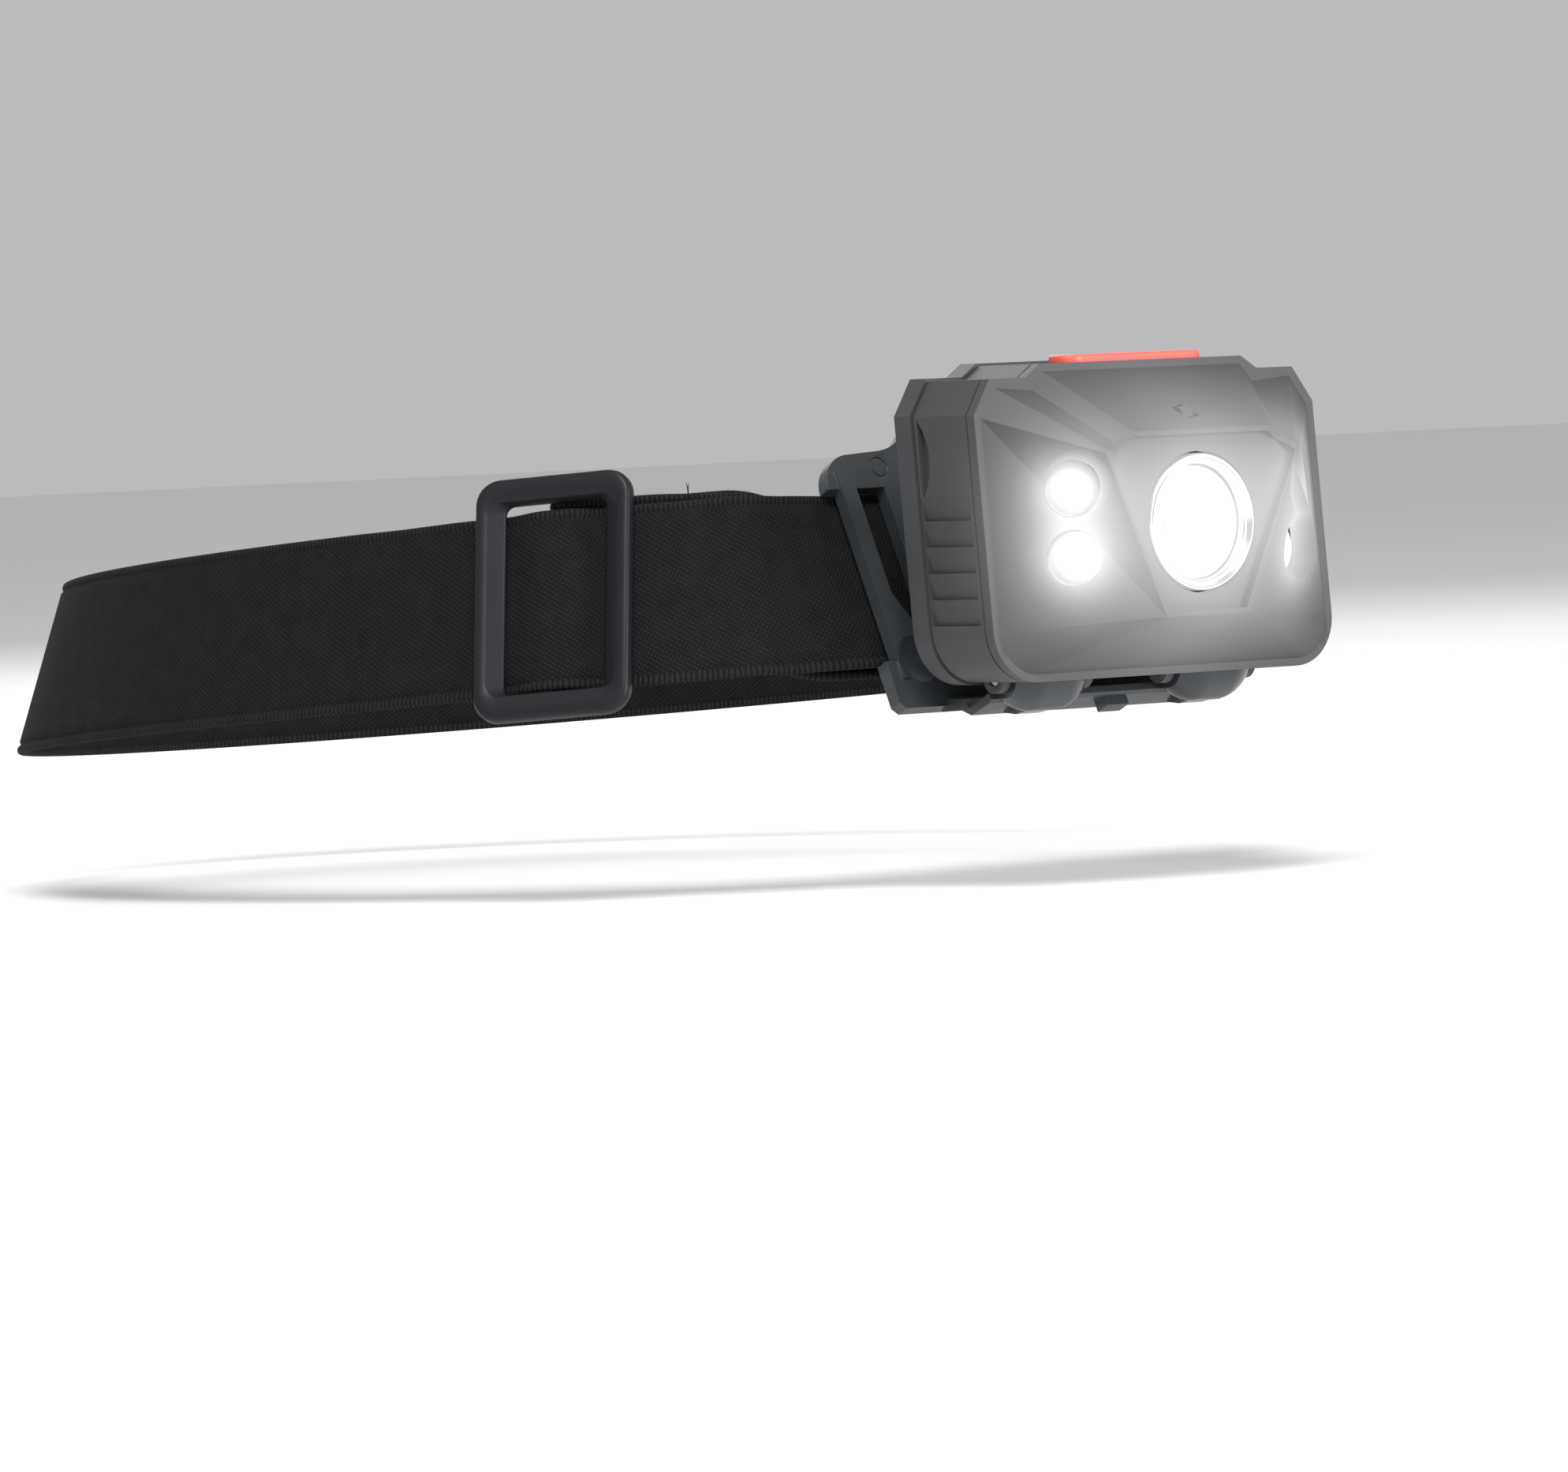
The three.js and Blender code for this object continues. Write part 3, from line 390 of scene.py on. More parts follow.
UP_IN, UP_OUT = 1.5 * MM, -0.45 * MM
inner_up = [(ANCHOR_S, 0.0), (SLIDER_S - 42 * MM, 0.0), (SLIDER_S - 26 * MM, UP_IN), (SLIDER_S, UP_IN)]
outer_up = [(ANCHOR_S, 0.2 * MM), (SLIDER_S - 44 * MM, 0.1 * MM), (SLIDER_S - 24 * MM, UP_OUT),
            (SLIDER_S, UP_OUT), (SLIDER_S + 40 * MM, 0.0), (FAR_ANCHOR_S, 0.0)]
level_up = [(0.0, 0.0), (LENGTH, 0.0)]
inner_knots = [(ANCHOR_S, -4.2 * MM), (ANCHOR_S + 17 * MM, -4.0 * MM), (ANCHOR_S + 32 * MM, -1.1 * MM),
               (SLIDER_S - 6 * MM, -1.0 * MM), (SLIDER_S, BAR_N - BAR_TURN)]
tab_knots = [(SLIDER_S - TAB_L - 1 * MM, 0.25 * MM), (SLIDER_S - 6 * MM, 0.25 * MM),
             (SLIDER_S, BAR_N + BAR_TURN)]
tab_up = [(SLIDER_S - TAB_L - 1 * MM, 0.4 * MM), (SLIDER_S - 12 * MM, UP_IN), (SLIDER_S, UP_IN)]
outer_knots = [(ANCHOR_S, 0.0), (ANCHOR_S + 17 * MM, 0.0), (ANCHOR_S + 30 * MM, 0.2 * MM),
               (SLIDER_S - TAB_L - 4 * MM, 0.25 * MM), (SLIDER_S - TAB_L + 2 * MM, 1.55 * MM),
               (SLIDER_S - 7 * MM, 1.55 * MM), (SLIDER_S - 1.5 * MM, 3.05 * MM),
               (SLIDER_S + 1.5 * MM, 3.05 * MM), (SLIDER_S + 9 * MM, 1.45 * MM),
               (SLIDER_S + 13 * MM, 1.3 * MM), (SLIDER_S + 32 * MM, 0.0), (FAR_ANCHOR_S, 0.0)]
far_knots = [(FAR_ANCHOR_S - FAR_TAB_L - 1 * MM, -1.35 * MM), (FAR_ANCHOR_S - 32 * MM, -1.35 * MM),
             (FAR_ANCHOR_S - 17 * MM, -4.0 * MM), (FAR_ANCHOR_S, -4.2 * MM)]
path = np.concatenate([
    np.array([[SLIDER_S - TAB_L, 0.25 * MM, 0.4 * MM]]),
    leg(SLIDER_S - TAB_L, SLIDER_S, tab_knots, tab_up),
    turn(SLIDER_S, BAR_N, BAR_TURN, 1, 1, UP_IN),
    leg(SLIDER_S, ANCHOR_S, inner_knots, inner_up),
    turn(ANCHOR_S, -ANCHOR_TURN, ANCHOR_TURN, -1, -1),
    leg(ANCHOR_S, FAR_ANCHOR_S, outer_knots, outer_up),
    turn(FAR_ANCHOR_S, -ANCHOR_TURN, ANCHOR_TURN, 1, 1),
    leg(FAR_ANCHOR_S, FAR_ANCHOR_S - FAR_TAB_L, far_knots, level_up),
])


def onto_base(path):
    """Carries a path (s, n, h) into space; returns its points and the band's up there."""
    pick = lambda field: np.stack([np.interp(path[:, 0], base_s, c) for c in field.T], 1)
    up = unit(pick(band_up))
    return pick(base) + pick(band_out) * path[:, 1:2] + up * path[:, 2:3], up


def grid_faces(rows, columns, close_columns=True):
    """Quads of a rows x columns grid of points; the columns can close on themselves."""
    i = np.arange(rows - 1)[:, None]
    j = np.arange(columns if close_columns else columns - 1)[None, :]
    k = (j + 1) % columns
    quads = np.stack([i * columns + j, (i + 1) * columns + j, (i + 1) * columns + k, i * columns + k], -1)
    return quads.reshape(-1, 4)


def volume(points, faces):
    """Signed volume inside a closed mesh, positive when its faces point outwards."""
    total = 0.0
    for face in faces:
        p = points[face]
        for a in range(1, len(face) - 1):
            total += np.dot(p[0], np.cross(p[a], p[a + 1]))
    return total / 6


def build(name, points, quads, caps=(), uv=None):
    """A mesh from arrays; quads is an array, caps are lists of corners, uv one pair per point."""
    faces = quads.tolist() + [list(c) for c in caps]
    sample = points - points.mean(0)
    a, b, c, d = (sample[quads[:, k]] for k in range(4))
    signed = np.sum(a * np.cross(b, c)) + np.sum(a * np.cross(c, d)) + 6 * volume(sample, list(caps))
    if signed < 0:
        faces = [f[::-1] for f in faces]
    mesh = bpy.data.meshes.new(name)
    mesh.from_pydata(points.tolist(), [], faces)
    mesh.polygons.foreach_set("use_smooth", np.ones(len(mesh.polygons), bool))
    if uv is not None:
        corner = np.zeros(len(mesh.loops), np.int32)
        mesh.loops.foreach_get("vertex_index", corner)
        layer = mesh.uv_layers.new(name="along_across")
        layer.data.foreach_set("uv", uv[corner].astype(np.float32).ravel())
    mesh.update()
    piece = bpy.data.objects.new(name, mesh)
    bpy.context.scene.collection.objects.link(piece)
    print(name, "points", len(points), "faces", len(faces))
    return piece


# %% [markdown]
# The webbing's section has a flat middle and a round cord along each edge. It is carried along the
# route square to it, and each point keeps its length along and its place across as UV.

# %% The webbing's section
EDGE = 1.5 * MM


def webbing_section(count=17):
    """Half thickness over the width: flat, a groove at each selvedge and a round edge cord."""
    half = WEB_W / 2
    inner = np.linspace(-(half - EDGE - 0.5 * MM), half - EDGE - 0.5 * MM, count)
    groove = np.array([half - EDGE - 0.15 * MM, half - EDGE + 0.1 * MM])
    phi = np.linspace(0.72 * pi, 0.02 * pi, 7)
    cord = half - EDGE / 2 + (EDGE / 2) * np.cos(phi)
    across = np.concatenate([inner, groove, cord])
    thick = np.concatenate([np.full(count, WEB_T / 2), np.array([0.62, 0.55]) * WEB_T / 2,
                            np.sin(phi) * 0.66 * MM])
    left = slice(count, None)
    across = np.concatenate([-across[left][::-1], across])
    thick = np.concatenate([thick[left][::-1], thick])
    return np.stack([np.concatenate([across, across[::-1]]), np.concatenate([thick, -thick[::-1]])], 1)


def carried(path_points, up, section):
    """The section carried along the path: across on the band's up, thickness square to the path."""
    forward = unit(np.gradient(path_points, axis=0))
    side = unit(np.cross(up, forward))
    return (path_points[:, None, :] + section[None, :, 0:1] * up[:, None, :]
            + section[None, :, 1:2] * side[:, None, :])


def webbing(name, path, section):
    """A closed strap: rows of the section, capped at both ends, with its length and width as UV."""
    line, up = onto_base(path)
    rows = carried(line, up, section)
    along = np.concatenate([[0], np.cumsum(np.linalg.norm(np.diff(line, axis=0), axis=1))])
    uv = np.stack(np.broadcast_arrays(along[:, None], section[None, :, 0]), -1).reshape(-1, 2)
    n, m = rows.shape[:2]
    caps = [list(range(m))[::-1], list(range((n - 1) * m, n * m))]
    piece = build(name, rows.reshape(-1, 3), grid_faces(n, m), caps, uv)
    print(name, "length", round(along[-1], 4))
    return piece, along[-1]


strap, strap_length = webbing("strap_webbing", path, webbing_section())

# %% [markdown]
# The cloth is an elastic twill: fine dots in diagonal rows between two corded edges that look like
# small ladders. The pattern reads the strap's own length and width in metres, so it bends with it.

# %% The webbing's cloth


def webbing_cloth():
    """Black elastic twill with ribbed edges, from the piece's own length and width."""
    material, tree, shader = new_material("black_webbing", roughness=0.9)
    shader.inputs["Specular IOR Level"].default_value = 0.12
    place = node(tree, "ShaderNodeUVMap", {"uv_map": "along_across"}).outputs[0]
    parts = node(tree, "ShaderNodeSeparateXYZ", Vector=place)
    along = calc(tree, "MULTIPLY_ADD", noise(tree, place, 700.0, 3.0), 0.0006, parts.outputs[0])
    across = parts.outputs[1]

    def wave(pitch_along, pitch_across):
        """0.5 + 0.5 sin of 2 pi (along / pitch_along + across / pitch_across)."""
        turns = calc(tree, "MULTIPLY_ADD", along, 2 * pi / pitch_along,
                     calc(tree, "MULTIPLY", across, 2 * pi / pitch_across))
        return calc(tree, "MULTIPLY_ADD", calc(tree, "SINE", turns), 0.5, 0.5)

    dots = calc(tree, "MULTIPLY", wave(0.00120, -0.00080), wave(0.00070, 0.00105))
    patch = calc(tree, "MULTIPLY_ADD", noise(tree, place, 900.0, 2.0), 1.5, -0.1)
    twill = calc(tree, "MULTIPLY", dots, patch)
    half = WEB_W / 2 - EDGE
    edge = node(tree, "ShaderNodeMapRange", Value=calc(tree, "ABSOLUTE", across),
                From_Min=half - 0.0002, From_Max=half + 0.0001).outputs[0]
    ribs = calc(tree, "MULTIPLY", wave(0.00080, 1e6), 0.6)
    height = calc(tree, "ADD", calc(tree, "MULTIPLY", ribs, edge),
                  calc(tree, "MULTIPLY", twill, calc(tree, "SUBTRACT", 1.0, edge)))
    lint = noise(tree, place, 260.0, 6.0)
    tone = calc(tree, "MULTIPLY_ADD", lint, 0.3, calc(tree, "MULTIPLY", height, 0.7))
    color = between(tree, tone, (0.0016, 0.0016, 0.0018), (0.029, 0.029, 0.030))
    finish_with(tree, shader, color, None, height, 0.00020)
    return material


CLOTH = webbing_cloth()
settle(strap, "bracket_assembly", CLOTH, "webbing", "strap_band", "strap_return", "strap_sewn_end")

# %% [markdown]
# Thread holds the two turned ends. Each seam is a few rows of short stitches, and every stitch is a
# small capsule that dips into the cloth at both ends. One loose thread stands up at the sewn tab.

# %% Seams and the loose thread
THREAD = 0.16 * MM


def tube(centres, radii, sides=8):
    """A closed tube round a polyline, with a radius at every point; returns points and faces."""
    forward = unit(np.gradient(centres, axis=0))
    helper = np.array([0.31, 0.52, 0.79])
    side = unit(np.cross(forward, helper))
    up = np.cross(forward, side)
    a = np.linspace(0, 2 * pi, sides, endpoint=False)[None, :, None]
    ring = np.cos(a) * side[:, None, :] + np.sin(a) * up[:, None, :]
    points = (centres[:, None, :] + radii[:, None, None] * ring).reshape(-1, 3)
    last = (len(centres) - 1) * sides
    ends = [list(range(sides)), list(range(last, last + sides))[::-1]]
    return points, grid_faces(len(centres), sides), ends


def together(name, tubes):
    """Many closed tubes as one mesh."""
    points, quads, caps, shift = [], [], [], 0
    for p, q, c in tubes:
        points.append(p)
        quads.append(q + shift)
        caps += [[v + shift for v in cap] for cap in c]
        shift += len(p)
    return build(name, np.concatenate(points), np.concatenate(quads), caps)


def seam(s_values, n, h_values, slant):
    """Stitches on a layer's head side, at every s and h; slant leans them along the strap."""
    stitches = []
    t = np.linspace(-1, 1, 7)
    for s in s_values:
        for h in h_values:
            path = np.stack([s + slant * t, np.full(7, n) - 0.14 * MM * (1 - t**4) + 0.06 * MM,
                             h + 1.0 * MM * t], 1)
            stitches.append(tube(onto_base(path)[0], THREAD * (1 - 0.5 * t**6)))
    return stitches


rows = np.arange(-11.5, 12.0, 2.6) * MM
from_tab_end = np.array([3.0, 5.0, 7.0]) * MM
far = FAR_ANCHOR_S - FAR_TAB_L + from_tab_end
stitches = seam(far, -1.35 * MM - WEB_T / 2, rows, 0.5 * MM)
near = SLIDER_S - TAB_L + from_tab_end
stitches += seam(near, -1.03 * MM - WEB_T / 2, rows + 0.4 * MM, -0.5 * MM)
seams = together("strap_seams", stitches)

t = np.linspace(0, 1, 12)[:, None]
foot_s = SLIDER_S - TAB_L + 10.0 * MM
root = onto_base(np.array([[foot_s, 0.9 * MM, 14.6 * MM]]))[0]
strands = []
for drift in (0.25, -0.2):
    bend = np.array([[0.0, 0.0, 2.3]]) * t + np.array([[drift, 0.15, 0.0]]) * t**3
    strands.append(tube(root + bend * MM, 0.11 * MM * (1 - 0.5 * t[:, 0])))
thread = together("loose_thread", strands)

# %% [markdown]
# The slider is a moulded frame with a middle bar. Its section changes little round the frame, so
# it is a loft through closed rings: each ring is a rounded rectangle with its own size and level.

# %% The slider
SLIDER_W, SLIDER_H, SLIDER_T = 25.4 * MM, 38.9 * MM, 2.6 * MM
SLIDER_OUT = 3.5 * MM
CORNER_POINTS = 10
RING_POINTS = 4 * CORNER_POINTS
BAR_STATIONS, BAR_SIDES = 24, 16


def rounded_ring(width, height, radius):
    """A rounded rectangle as points, anticlockwise."""
    quarter = np.linspace(0, pi / 2, CORNER_POINTS)
    ring = []
    for k, (sx, sy) in enumerate([(1, 1), (-1, 1), (-1, -1), (1, -1)]):
        a = quarter + k * pi / 2
        ring.append(np.stack([sx * (width / 2 - radius) + radius * np.cos(a),
                              sy * (height / 2 - radius) + radius * np.sin(a)], 1))
    return np.concatenate(ring)


def slider_rings():
    """(width, height, corner radius, level) of each ring, once round the bar's section."""
    w, h, t = SLIDER_W, SLIDER_H, SLIDER_T / 2
    face_w, face_h = w - 4.4 * MM, h - 7.8 * MM
    inner_w, inner_h = w - 9.0 * MM, h - 8.4 * MM
    return [(w, h, 4.0 * MM, -t + 0.6 * MM), (w, h, 4.0 * MM, t - 0.9 * MM),
            (w - 0.35 * MM, h - 0.35 * MM, 3.9 * MM, t - 0.35 * MM),
            (w - 0.9 * MM, h - 0.9 * MM, 3.7 * MM, t - 0.08 * MM),
            (w - 1.6 * MM, h - 1.6 * MM, 3.4 * MM, t),
            (face_w + 0.5 * MM, face_h + 0.5 * MM, 2.4 * MM, t),
            (face_w, face_h, 2.2 * MM, t - 0.16 * MM),
            (inner_w + 0.6 * MM, inner_h + 0.2 * MM, 1.7 * MM, -t + 0.85 * MM),
            (inner_w, inner_h, 1.5 * MM, -t + 0.6 * MM), (inner_w, inner_h, 1.5 * MM, -t + 0.25 * MM),
            (inner_w + 0.5 * MM, inner_h + 0.5 * MM, 1.6 * MM, -t),
            (w - 1.0 * MM, h - 1.0 * MM, 3.5 * MM, -t),
            (w - 0.3 * MM, h - 0.3 * MM, 3.9 * MM, -t + 0.2 * MM)]


def slider_piece():
    """The frame as a closed loft of rings, with an oval middle bar set in towards the head."""
    rings = [np.column_stack([rounded_ring(w, h, r), np.full(RING_POINTS, z)])
             for w, h, r, z in slider_rings()]
    quads = grid_faces(len(rings) + 1, RING_POINTS) % (len(rings) * RING_POINTS)
    phi = np.linspace(0, 2 * pi, BAR_SIDES, endpoint=False)
    reach = np.linspace(-SLIDER_H / 2 + 2.4 * MM, SLIDER_H / 2 - 2.4 * MM, BAR_STATIONS)
    rise = -(SLIDER_OUT - BAR_N) + 2.0 * MM * np.clip((np.abs(reach) - 13.9 * MM) / (3.2 * MM), 0, 1) ** 2
    grid = (BAR_STATIONS, BAR_SIDES)
    bar = np.stack([np.broadcast_to(1.5 * MM * np.cos(phi), grid),
                    np.broadcast_to(reach[:, None], grid),
                    rise[:, None] + 0.62 * MM * np.sin(phi)], -1).reshape(-1, 3)
    return np.concatenate(rings), quads, bar, grid_faces(*grid)


def placed_on_base(points, index, out):
    """Points (along, up, out) set down on the base line at a station, at a distance out."""
    axes = np.stack([tangent[index], band_up[index], band_out[index]])
    return points @ axes + base[index] + band_out[index] * out


frame_points, frame_quads, bar_points, bar_quads = slider_piece()
slider = build("slider_frame", placed_on_base(frame_points, slider_index, SLIDER_OUT), frame_quads)
settle(slider, "bracket_assembly", SLIDER, "slider_plastic", "slider")
bar_ends = [list(range(BAR_SIDES)), list(range(len(bar_points) - BAR_SIDES, len(bar_points)))[::-1]]
middle_bar = build("slider_middle_bar", placed_on_base(bar_points, slider_index, SLIDER_OUT), bar_quads,
                   bar_ends)
settle(middle_bar, "bracket_assembly", SLIDER, "slider_plastic")
THREAD_CLOTH = moulded("seam_thread", (0.004, 0.004, 0.004), (0.016, 0.016, 0.017), 0.7, 0.00002,
                       shine=0.2)
for piece in (seams, thread):
    settle(piece, "bracket_assembly", THREAD_CLOTH, "webbing")

# %% [markdown]
# Now the lights. A lit lens is seen as a bright white dome, so the small lenses glow by themselves,
# strongest in the middle. The main light is a mirror cup behind a clear lens, inside a bright ring.

# %% Lit and clear finishes


def lit_dome(name, centres, reach, core, rim, steps=0.0):
    """A glowing lens: emission falls from core at its centre to rim at the reach; steps adds rings."""
    material, tree, shader = new_material(name, roughness=0.12)
    shader.inputs["Base Color"].default_value = (0.30, 0.31, 0.32, 1.0)
    shader.inputs["Emission Color"].default_value = (1.0, 1.0, 1.0, 1.0)
    where = node(tree, "ShaderNodeTexCoord").outputs["Object"]
    nearest = None
    for place in centres:
        away = node(tree, "ShaderNodeVectorMath", {"operation": "DISTANCE"}, i0=where, i1=place)
        away = away.outputs["Value"]
        nearest = away if nearest is None else calc(tree, "MINIMUM", nearest, away)
    glow = between(tree, calc(tree, "DIVIDE", nearest, reach), core, rim)
    ripple = calc(tree, "SINE", calc(tree, "MULTIPLY", nearest, 2 * pi / 0.0016))
    glow = calc(tree, "MULTIPLY_ADD", ripple, steps, glow)
    tree.links.new(glow, shader.inputs["Emission Strength"])
    return material


LIT_SIDES = [middle(name) for name in SIDE_LENSES]
SIDE_GLOW = lit_dome("side_glow", LIT_SIDES, 4.6 * MM, 1.3, 0.32)
MIRROR = lit_dome("mirror_glow", [middle("main_lens")], 9.5 * MM, 1.0, 0.32, 0.03)


def turned_piece(name, centre, tilt, profile, sides=64):
    """A turned piece from (radius, depth) pairs: centre + radius (cos a across + sin a up)
    + depth back, with back turned by tilt about +Z. A profile that starts and ends at radius 0
    gets a pole at each end; any other profile is a closed loop."""
    across = np.array([cos(tilt), sin(tilt), 0.0])
    back = np.array([-sin(tilt), cos(tilt), 0.0])
    radius, depth = np.array(profile).T * MM
    a = np.linspace(0, 2 * pi, sides, endpoint=False)[:, None]
    ring = np.cos(a) * across + np.sin(a) * np.array([0.0, 0.0, 1.0])
    points = np.array(centre) + radius[:, None, None] * ring + depth[:, None, None] * back
    if radius[0] > 0:
        return build(name, points.reshape(-1, 3), grid_faces(len(profile) + 1, sides) % points[..., 0].size)
    rows = len(profile) - 2
    body = np.concatenate([points[1:-1].reshape(-1, 3), points[0, :1], points[-1, :1]])
    first, last, end = rows * sides, rows * sides + 1, (rows - 1) * sides
    fans = [[first, j, (j + 1) % sides] for j in range(sides)]
    fans += [[end + j, last, end + (j + 1) % sides] for j in range(sides)]
    return build(name, body, grid_faces(rows, sides), fans)


def rounded(corners, reach=0.25, steps=4):
    """The same open outline with each inner corner swapped for a small curve."""
    corners = np.array(corners, float)
    outline = [corners[0]]
    for before, corner, after in zip(corners, corners[1:], corners[2:]):
        cut_in = corner + (before - corner) * min(0.5, reach / np.linalg.norm(before - corner))
        cut_out = corner + (after - corner) * min(0.5, reach / np.linalg.norm(after - corner))
        for t in np.linspace(0, 1, steps):
            outline.append((1 - t) ** 2 * cut_in + 2 * t * (1 - t) * corner + t * t * cut_out)
    return outline + [corners[-1]]


def clear_lens():
    """Clear plastic with a few faint moulding swirls in its gloss."""
    material, tree, shader = new_material("clear_lens", IOR=1.45, Coat_Weight=0.5)
    where = node(tree, "ShaderNodeTexCoord").outputs["Object"]
    shader.inputs["Base Color"].default_value = (0.95, 0.97, 1.0, 1.0)
    shader.inputs["Emission Color"].default_value = (1.0, 1.0, 1.0, 1.0)
    shader.inputs["Emission Strength"].default_value = 0.45
    shader.inputs["Alpha"].default_value = 0.22
    finish_with(tree, shader, None, between(tree, noise(tree, where, 200.0), 0.03, 0.12))
    return material


CLEAR = clear_lens()


def mirror_ring():
    """Vacuum-coated plastic: a mirror with a little haze, and a painted glow from the lights' glare."""
    material, tree, shader = new_material("bright_ring", metallic=1.0)
    where = node(tree, "ShaderNodeTexCoord").outputs["Object"]
    shader.inputs["Base Color"].default_value = (0.62, 0.63, 0.65, 1.0)
    shader.inputs["Emission Color"].default_value = (1.0, 1.0, 1.0, 1.0)
    # painted light: the ring emits part of the painted glare, though it is no lamp
    tree.links.new(calc(tree, "MULTIPLY", painted_spill(tree, where), 0.6), shader.inputs["Emission Strength"])
    finish_with(tree, shader, None, between(tree, noise(tree, where, 300.0), 0.16, 0.28))
    return material


RING = mirror_ring()

# %% [markdown]
# The lenses and the bright ring are turned pieces. Each side lens is a dome with a flange that
# fills its well. The ring has two fine beads with a groove between them, as a lathe would cut it.

# %% Lenses and ring
DOME = rounded([(0, 0.05), (1.6, 0.22), (2.9, 0.7), (3.75, 1.4), (3.95, 1.62), (4.38, 1.72), (4.38, 3.4),
                (0, 3.4)])
for lens in SIDE_LENSES:
    tilt = radians(33 if lens.endswith("left") else -33)
    half_depth = Vector((-sin(tilt), cos(tilt), 0)) * 2.2 * MM
    piece = turned_piece(f"{lens}_dome", middle(lens) - half_depth, tilt, DOME, 48)
    settle(piece, "lamp_head", SIDE_GLOW, "clear_lens", lens)

ring_low, ring_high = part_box("main_lens_ring")
FRONT = Vector(((ring_low.x + ring_high.x) / 2, ring_low.y, (ring_low.z + ring_high.z) / 2))
BEADS = [(8.9, 3.4), (8.9, 1.0), (9.05, 0.62), (9.3, 0.62), (9.45, 0.95), (9.75, 0.95), (9.9, 0.25),
         (10.1, 0.02), (10.35, 0.06), (10.5, 0.4), (10.5, 3.4)]
piece = turned_piece("lens_ring", FRONT, 0.0, BEADS[::-1], 96)
settle(piece, "lamp_head", RING, "bright_trim", "main_lens_ring")

# %% [markdown]
# The CAD nodes that have no softened copy keep their own shapes, and each gets a finish by its
# material slot. The few that sit in the light get one by name.

# %% Materials of the CAD nodes that stay as they are


def plain(name, dark, light, roughness, metallic=0.0, scale=400.0, grain=0.00003):
    """A simple finish with some life: cloudy colour, patchy gloss and a shallow grain."""
    material, tree, shader = new_material(name, metallic=metallic)
    where = node(tree, "ShaderNodeTexCoord").outputs["Object"]
    cloud = noise(tree, where, scale, 4.0)
    gloss = between(tree, cloud, roughness - 0.05, roughness + 0.08)
    speckle = noise(tree, where, scale * 10)
    finish_with(tree, shader, between(tree, cloud, dark, light), gloss, speckle, grain)
    return material


STEEL = plain("nickel_steel", (0.48, 0.48, 0.47), (0.68, 0.68, 0.66), 0.25, 1.0)
BOARD = plain("solder_mask", (0.008, 0.060, 0.025), (0.015, 0.100, 0.045), 0.35)
SLEEVE = plain("cell_sleeve", (0.010, 0.045, 0.140), (0.020, 0.070, 0.200), 0.30)
RUBBER = plain("soft_rubber", (0.012, 0.012, 0.013), (0.024, 0.024, 0.025), 0.75)
BLACK = plain("black_plastic", (0.010, 0.010, 0.011), (0.022, 0.022, 0.024), 0.35)

finishes = {"clear_lens": CLEAR, "led": SIDE_GLOW, "bright_trim": RING, "circuit_board": BOARD,
            "steel": STEEL, "cell": SLEEVE, "rubber": RUBBER, "black_plastic": BLACK}
for entry in frame["record"]["subparts"]:
    if entry["material_slot"] in finishes:
        part = frame["nodes"][entry["node"]]
        part.data.materials.clear()
        part.data.materials.append(finishes[entry["material_slot"]])
special = [("reflector", MIRROR), ("main_led", MIRROR), ("sensor_window", SMOKED)]
for name, finish in special + [(lens, SIDE_GLOW) for lens in SIDE_LENSES]:
    frame["nodes"][name].data.materials[0] = finish
for name in ["main_lens_ring", "main_lens", "reflector", *SIDE_LENSES]:
    frame["nodes"][name].data.polygons.foreach_set(
        "use_smooth", np.ones(len(frame["nodes"][name].data.polygons), bool))
print("finishes on", len(frame["nodes"]), "nodes")

# %% [markdown]
# The stage is a plain pale floor under soft studio light. The camera stands in front, to the
# wearer's right and a little above, far away with a long lens.

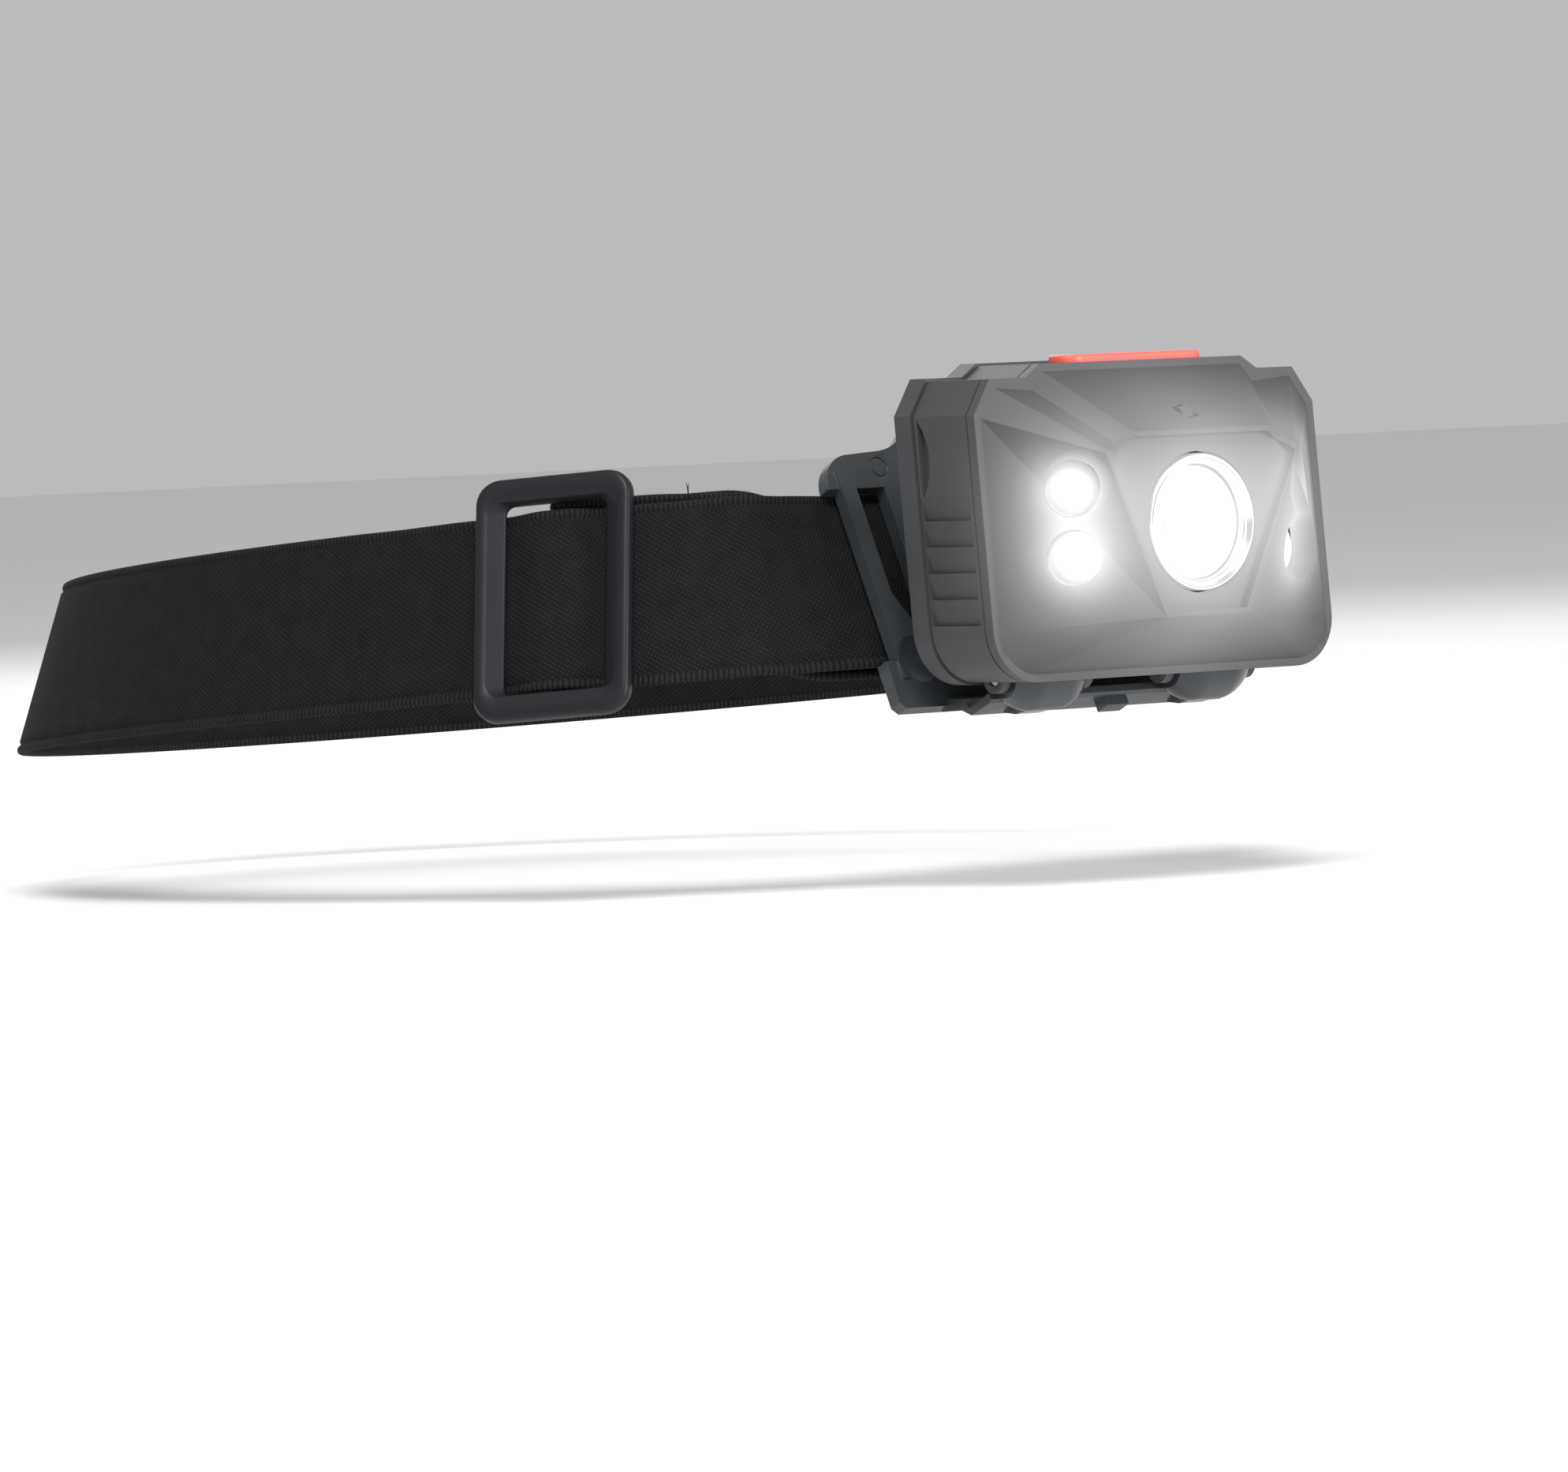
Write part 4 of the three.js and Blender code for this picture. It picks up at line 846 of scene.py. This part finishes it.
# %% Floor, lights and camera
FLOOR_Z = CAD_BOX[0].z - 0.02
bpy.ops.mesh.primitive_plane_add(size=12.0, location=(0, 0, FLOOR_Z))
floor = bpy.context.object
floor.name = "floor"
paper, paper_tree, paper_shader = new_material("pale_floor", roughness=0.9)
paper_where = node(paper_tree, "ShaderNodeTexCoord").outputs["Object"]
finish_with(paper_tree, paper_shader, between(paper_tree, noise(paper_tree, paper_where, 3.0),
                                              (0.84, 0.84, 0.84), (0.88, 0.88, 0.88)))
floor.data.materials.append(paper)

world = bpy.data.worlds.new("studio")
bpy.context.scene.world = world
world.use_nodes = True
world.node_tree.nodes["Background"].inputs[0].default_value = (1.0, 1.0, 1.0, 1.0)
world.node_tree.nodes["Background"].inputs[1].default_value = 0.5


def softbox(name, place, aim, size, power):
    """A square area light at place, turned towards aim."""
    lamp = bpy.data.lights.new(name, "AREA")
    lamp.size = size
    lamp.energy = power
    holder = bpy.data.objects.new(name, lamp)
    holder.location = place
    holder.rotation_euler = (Vector(aim) - Vector(place)).to_track_quat("-Z", "Y").to_euler()
    bpy.context.scene.collection.objects.link(holder)


for light, place, size, power in [("key_light", (-0.7, -0.8, 1.3), 0.7, 26.0),
                                  ("fill_light", (0.6, -1.4, 0.32), 0.7, 20.0),
                                  ("back_light", (0.6, 1.2, 0.9), 0.8, 8.0)]:
    softbox(light, place, middle("housing"), size, power)

CAMERA_PLACE = (-1.09514, -1.32793, 0.03631)
AZIMUTH, ELEVATION, ROLL = radians(-38.38), radians(1.93), radians(-2.31)
camera_data = bpy.data.cameras.new("camera")
camera_data.lens = 253.52
camera_data.sensor_width = 36.0
camera_data.clip_end = 50.0
camera = bpy.data.objects.new("camera", camera_data)
camera.location = CAMERA_PLACE
look = Vector((-sin(AZIMUTH) * cos(ELEVATION), cos(AZIMUTH) * cos(ELEVATION), -sin(ELEVATION)))
upright = look.to_track_quat("-Z", "Y").to_matrix()
camera.rotation_euler = (upright @ Matrix.Rotation(ROLL, 3, "Z")).to_euler()
bpy.context.scene.collection.objects.link(camera)
bpy.context.scene.camera = camera
bpy.context.scene.view_settings.view_transform = "Standard"

print("camera at", CAMERA_PLACE, "floor at", round(FLOOR_Z, 4))
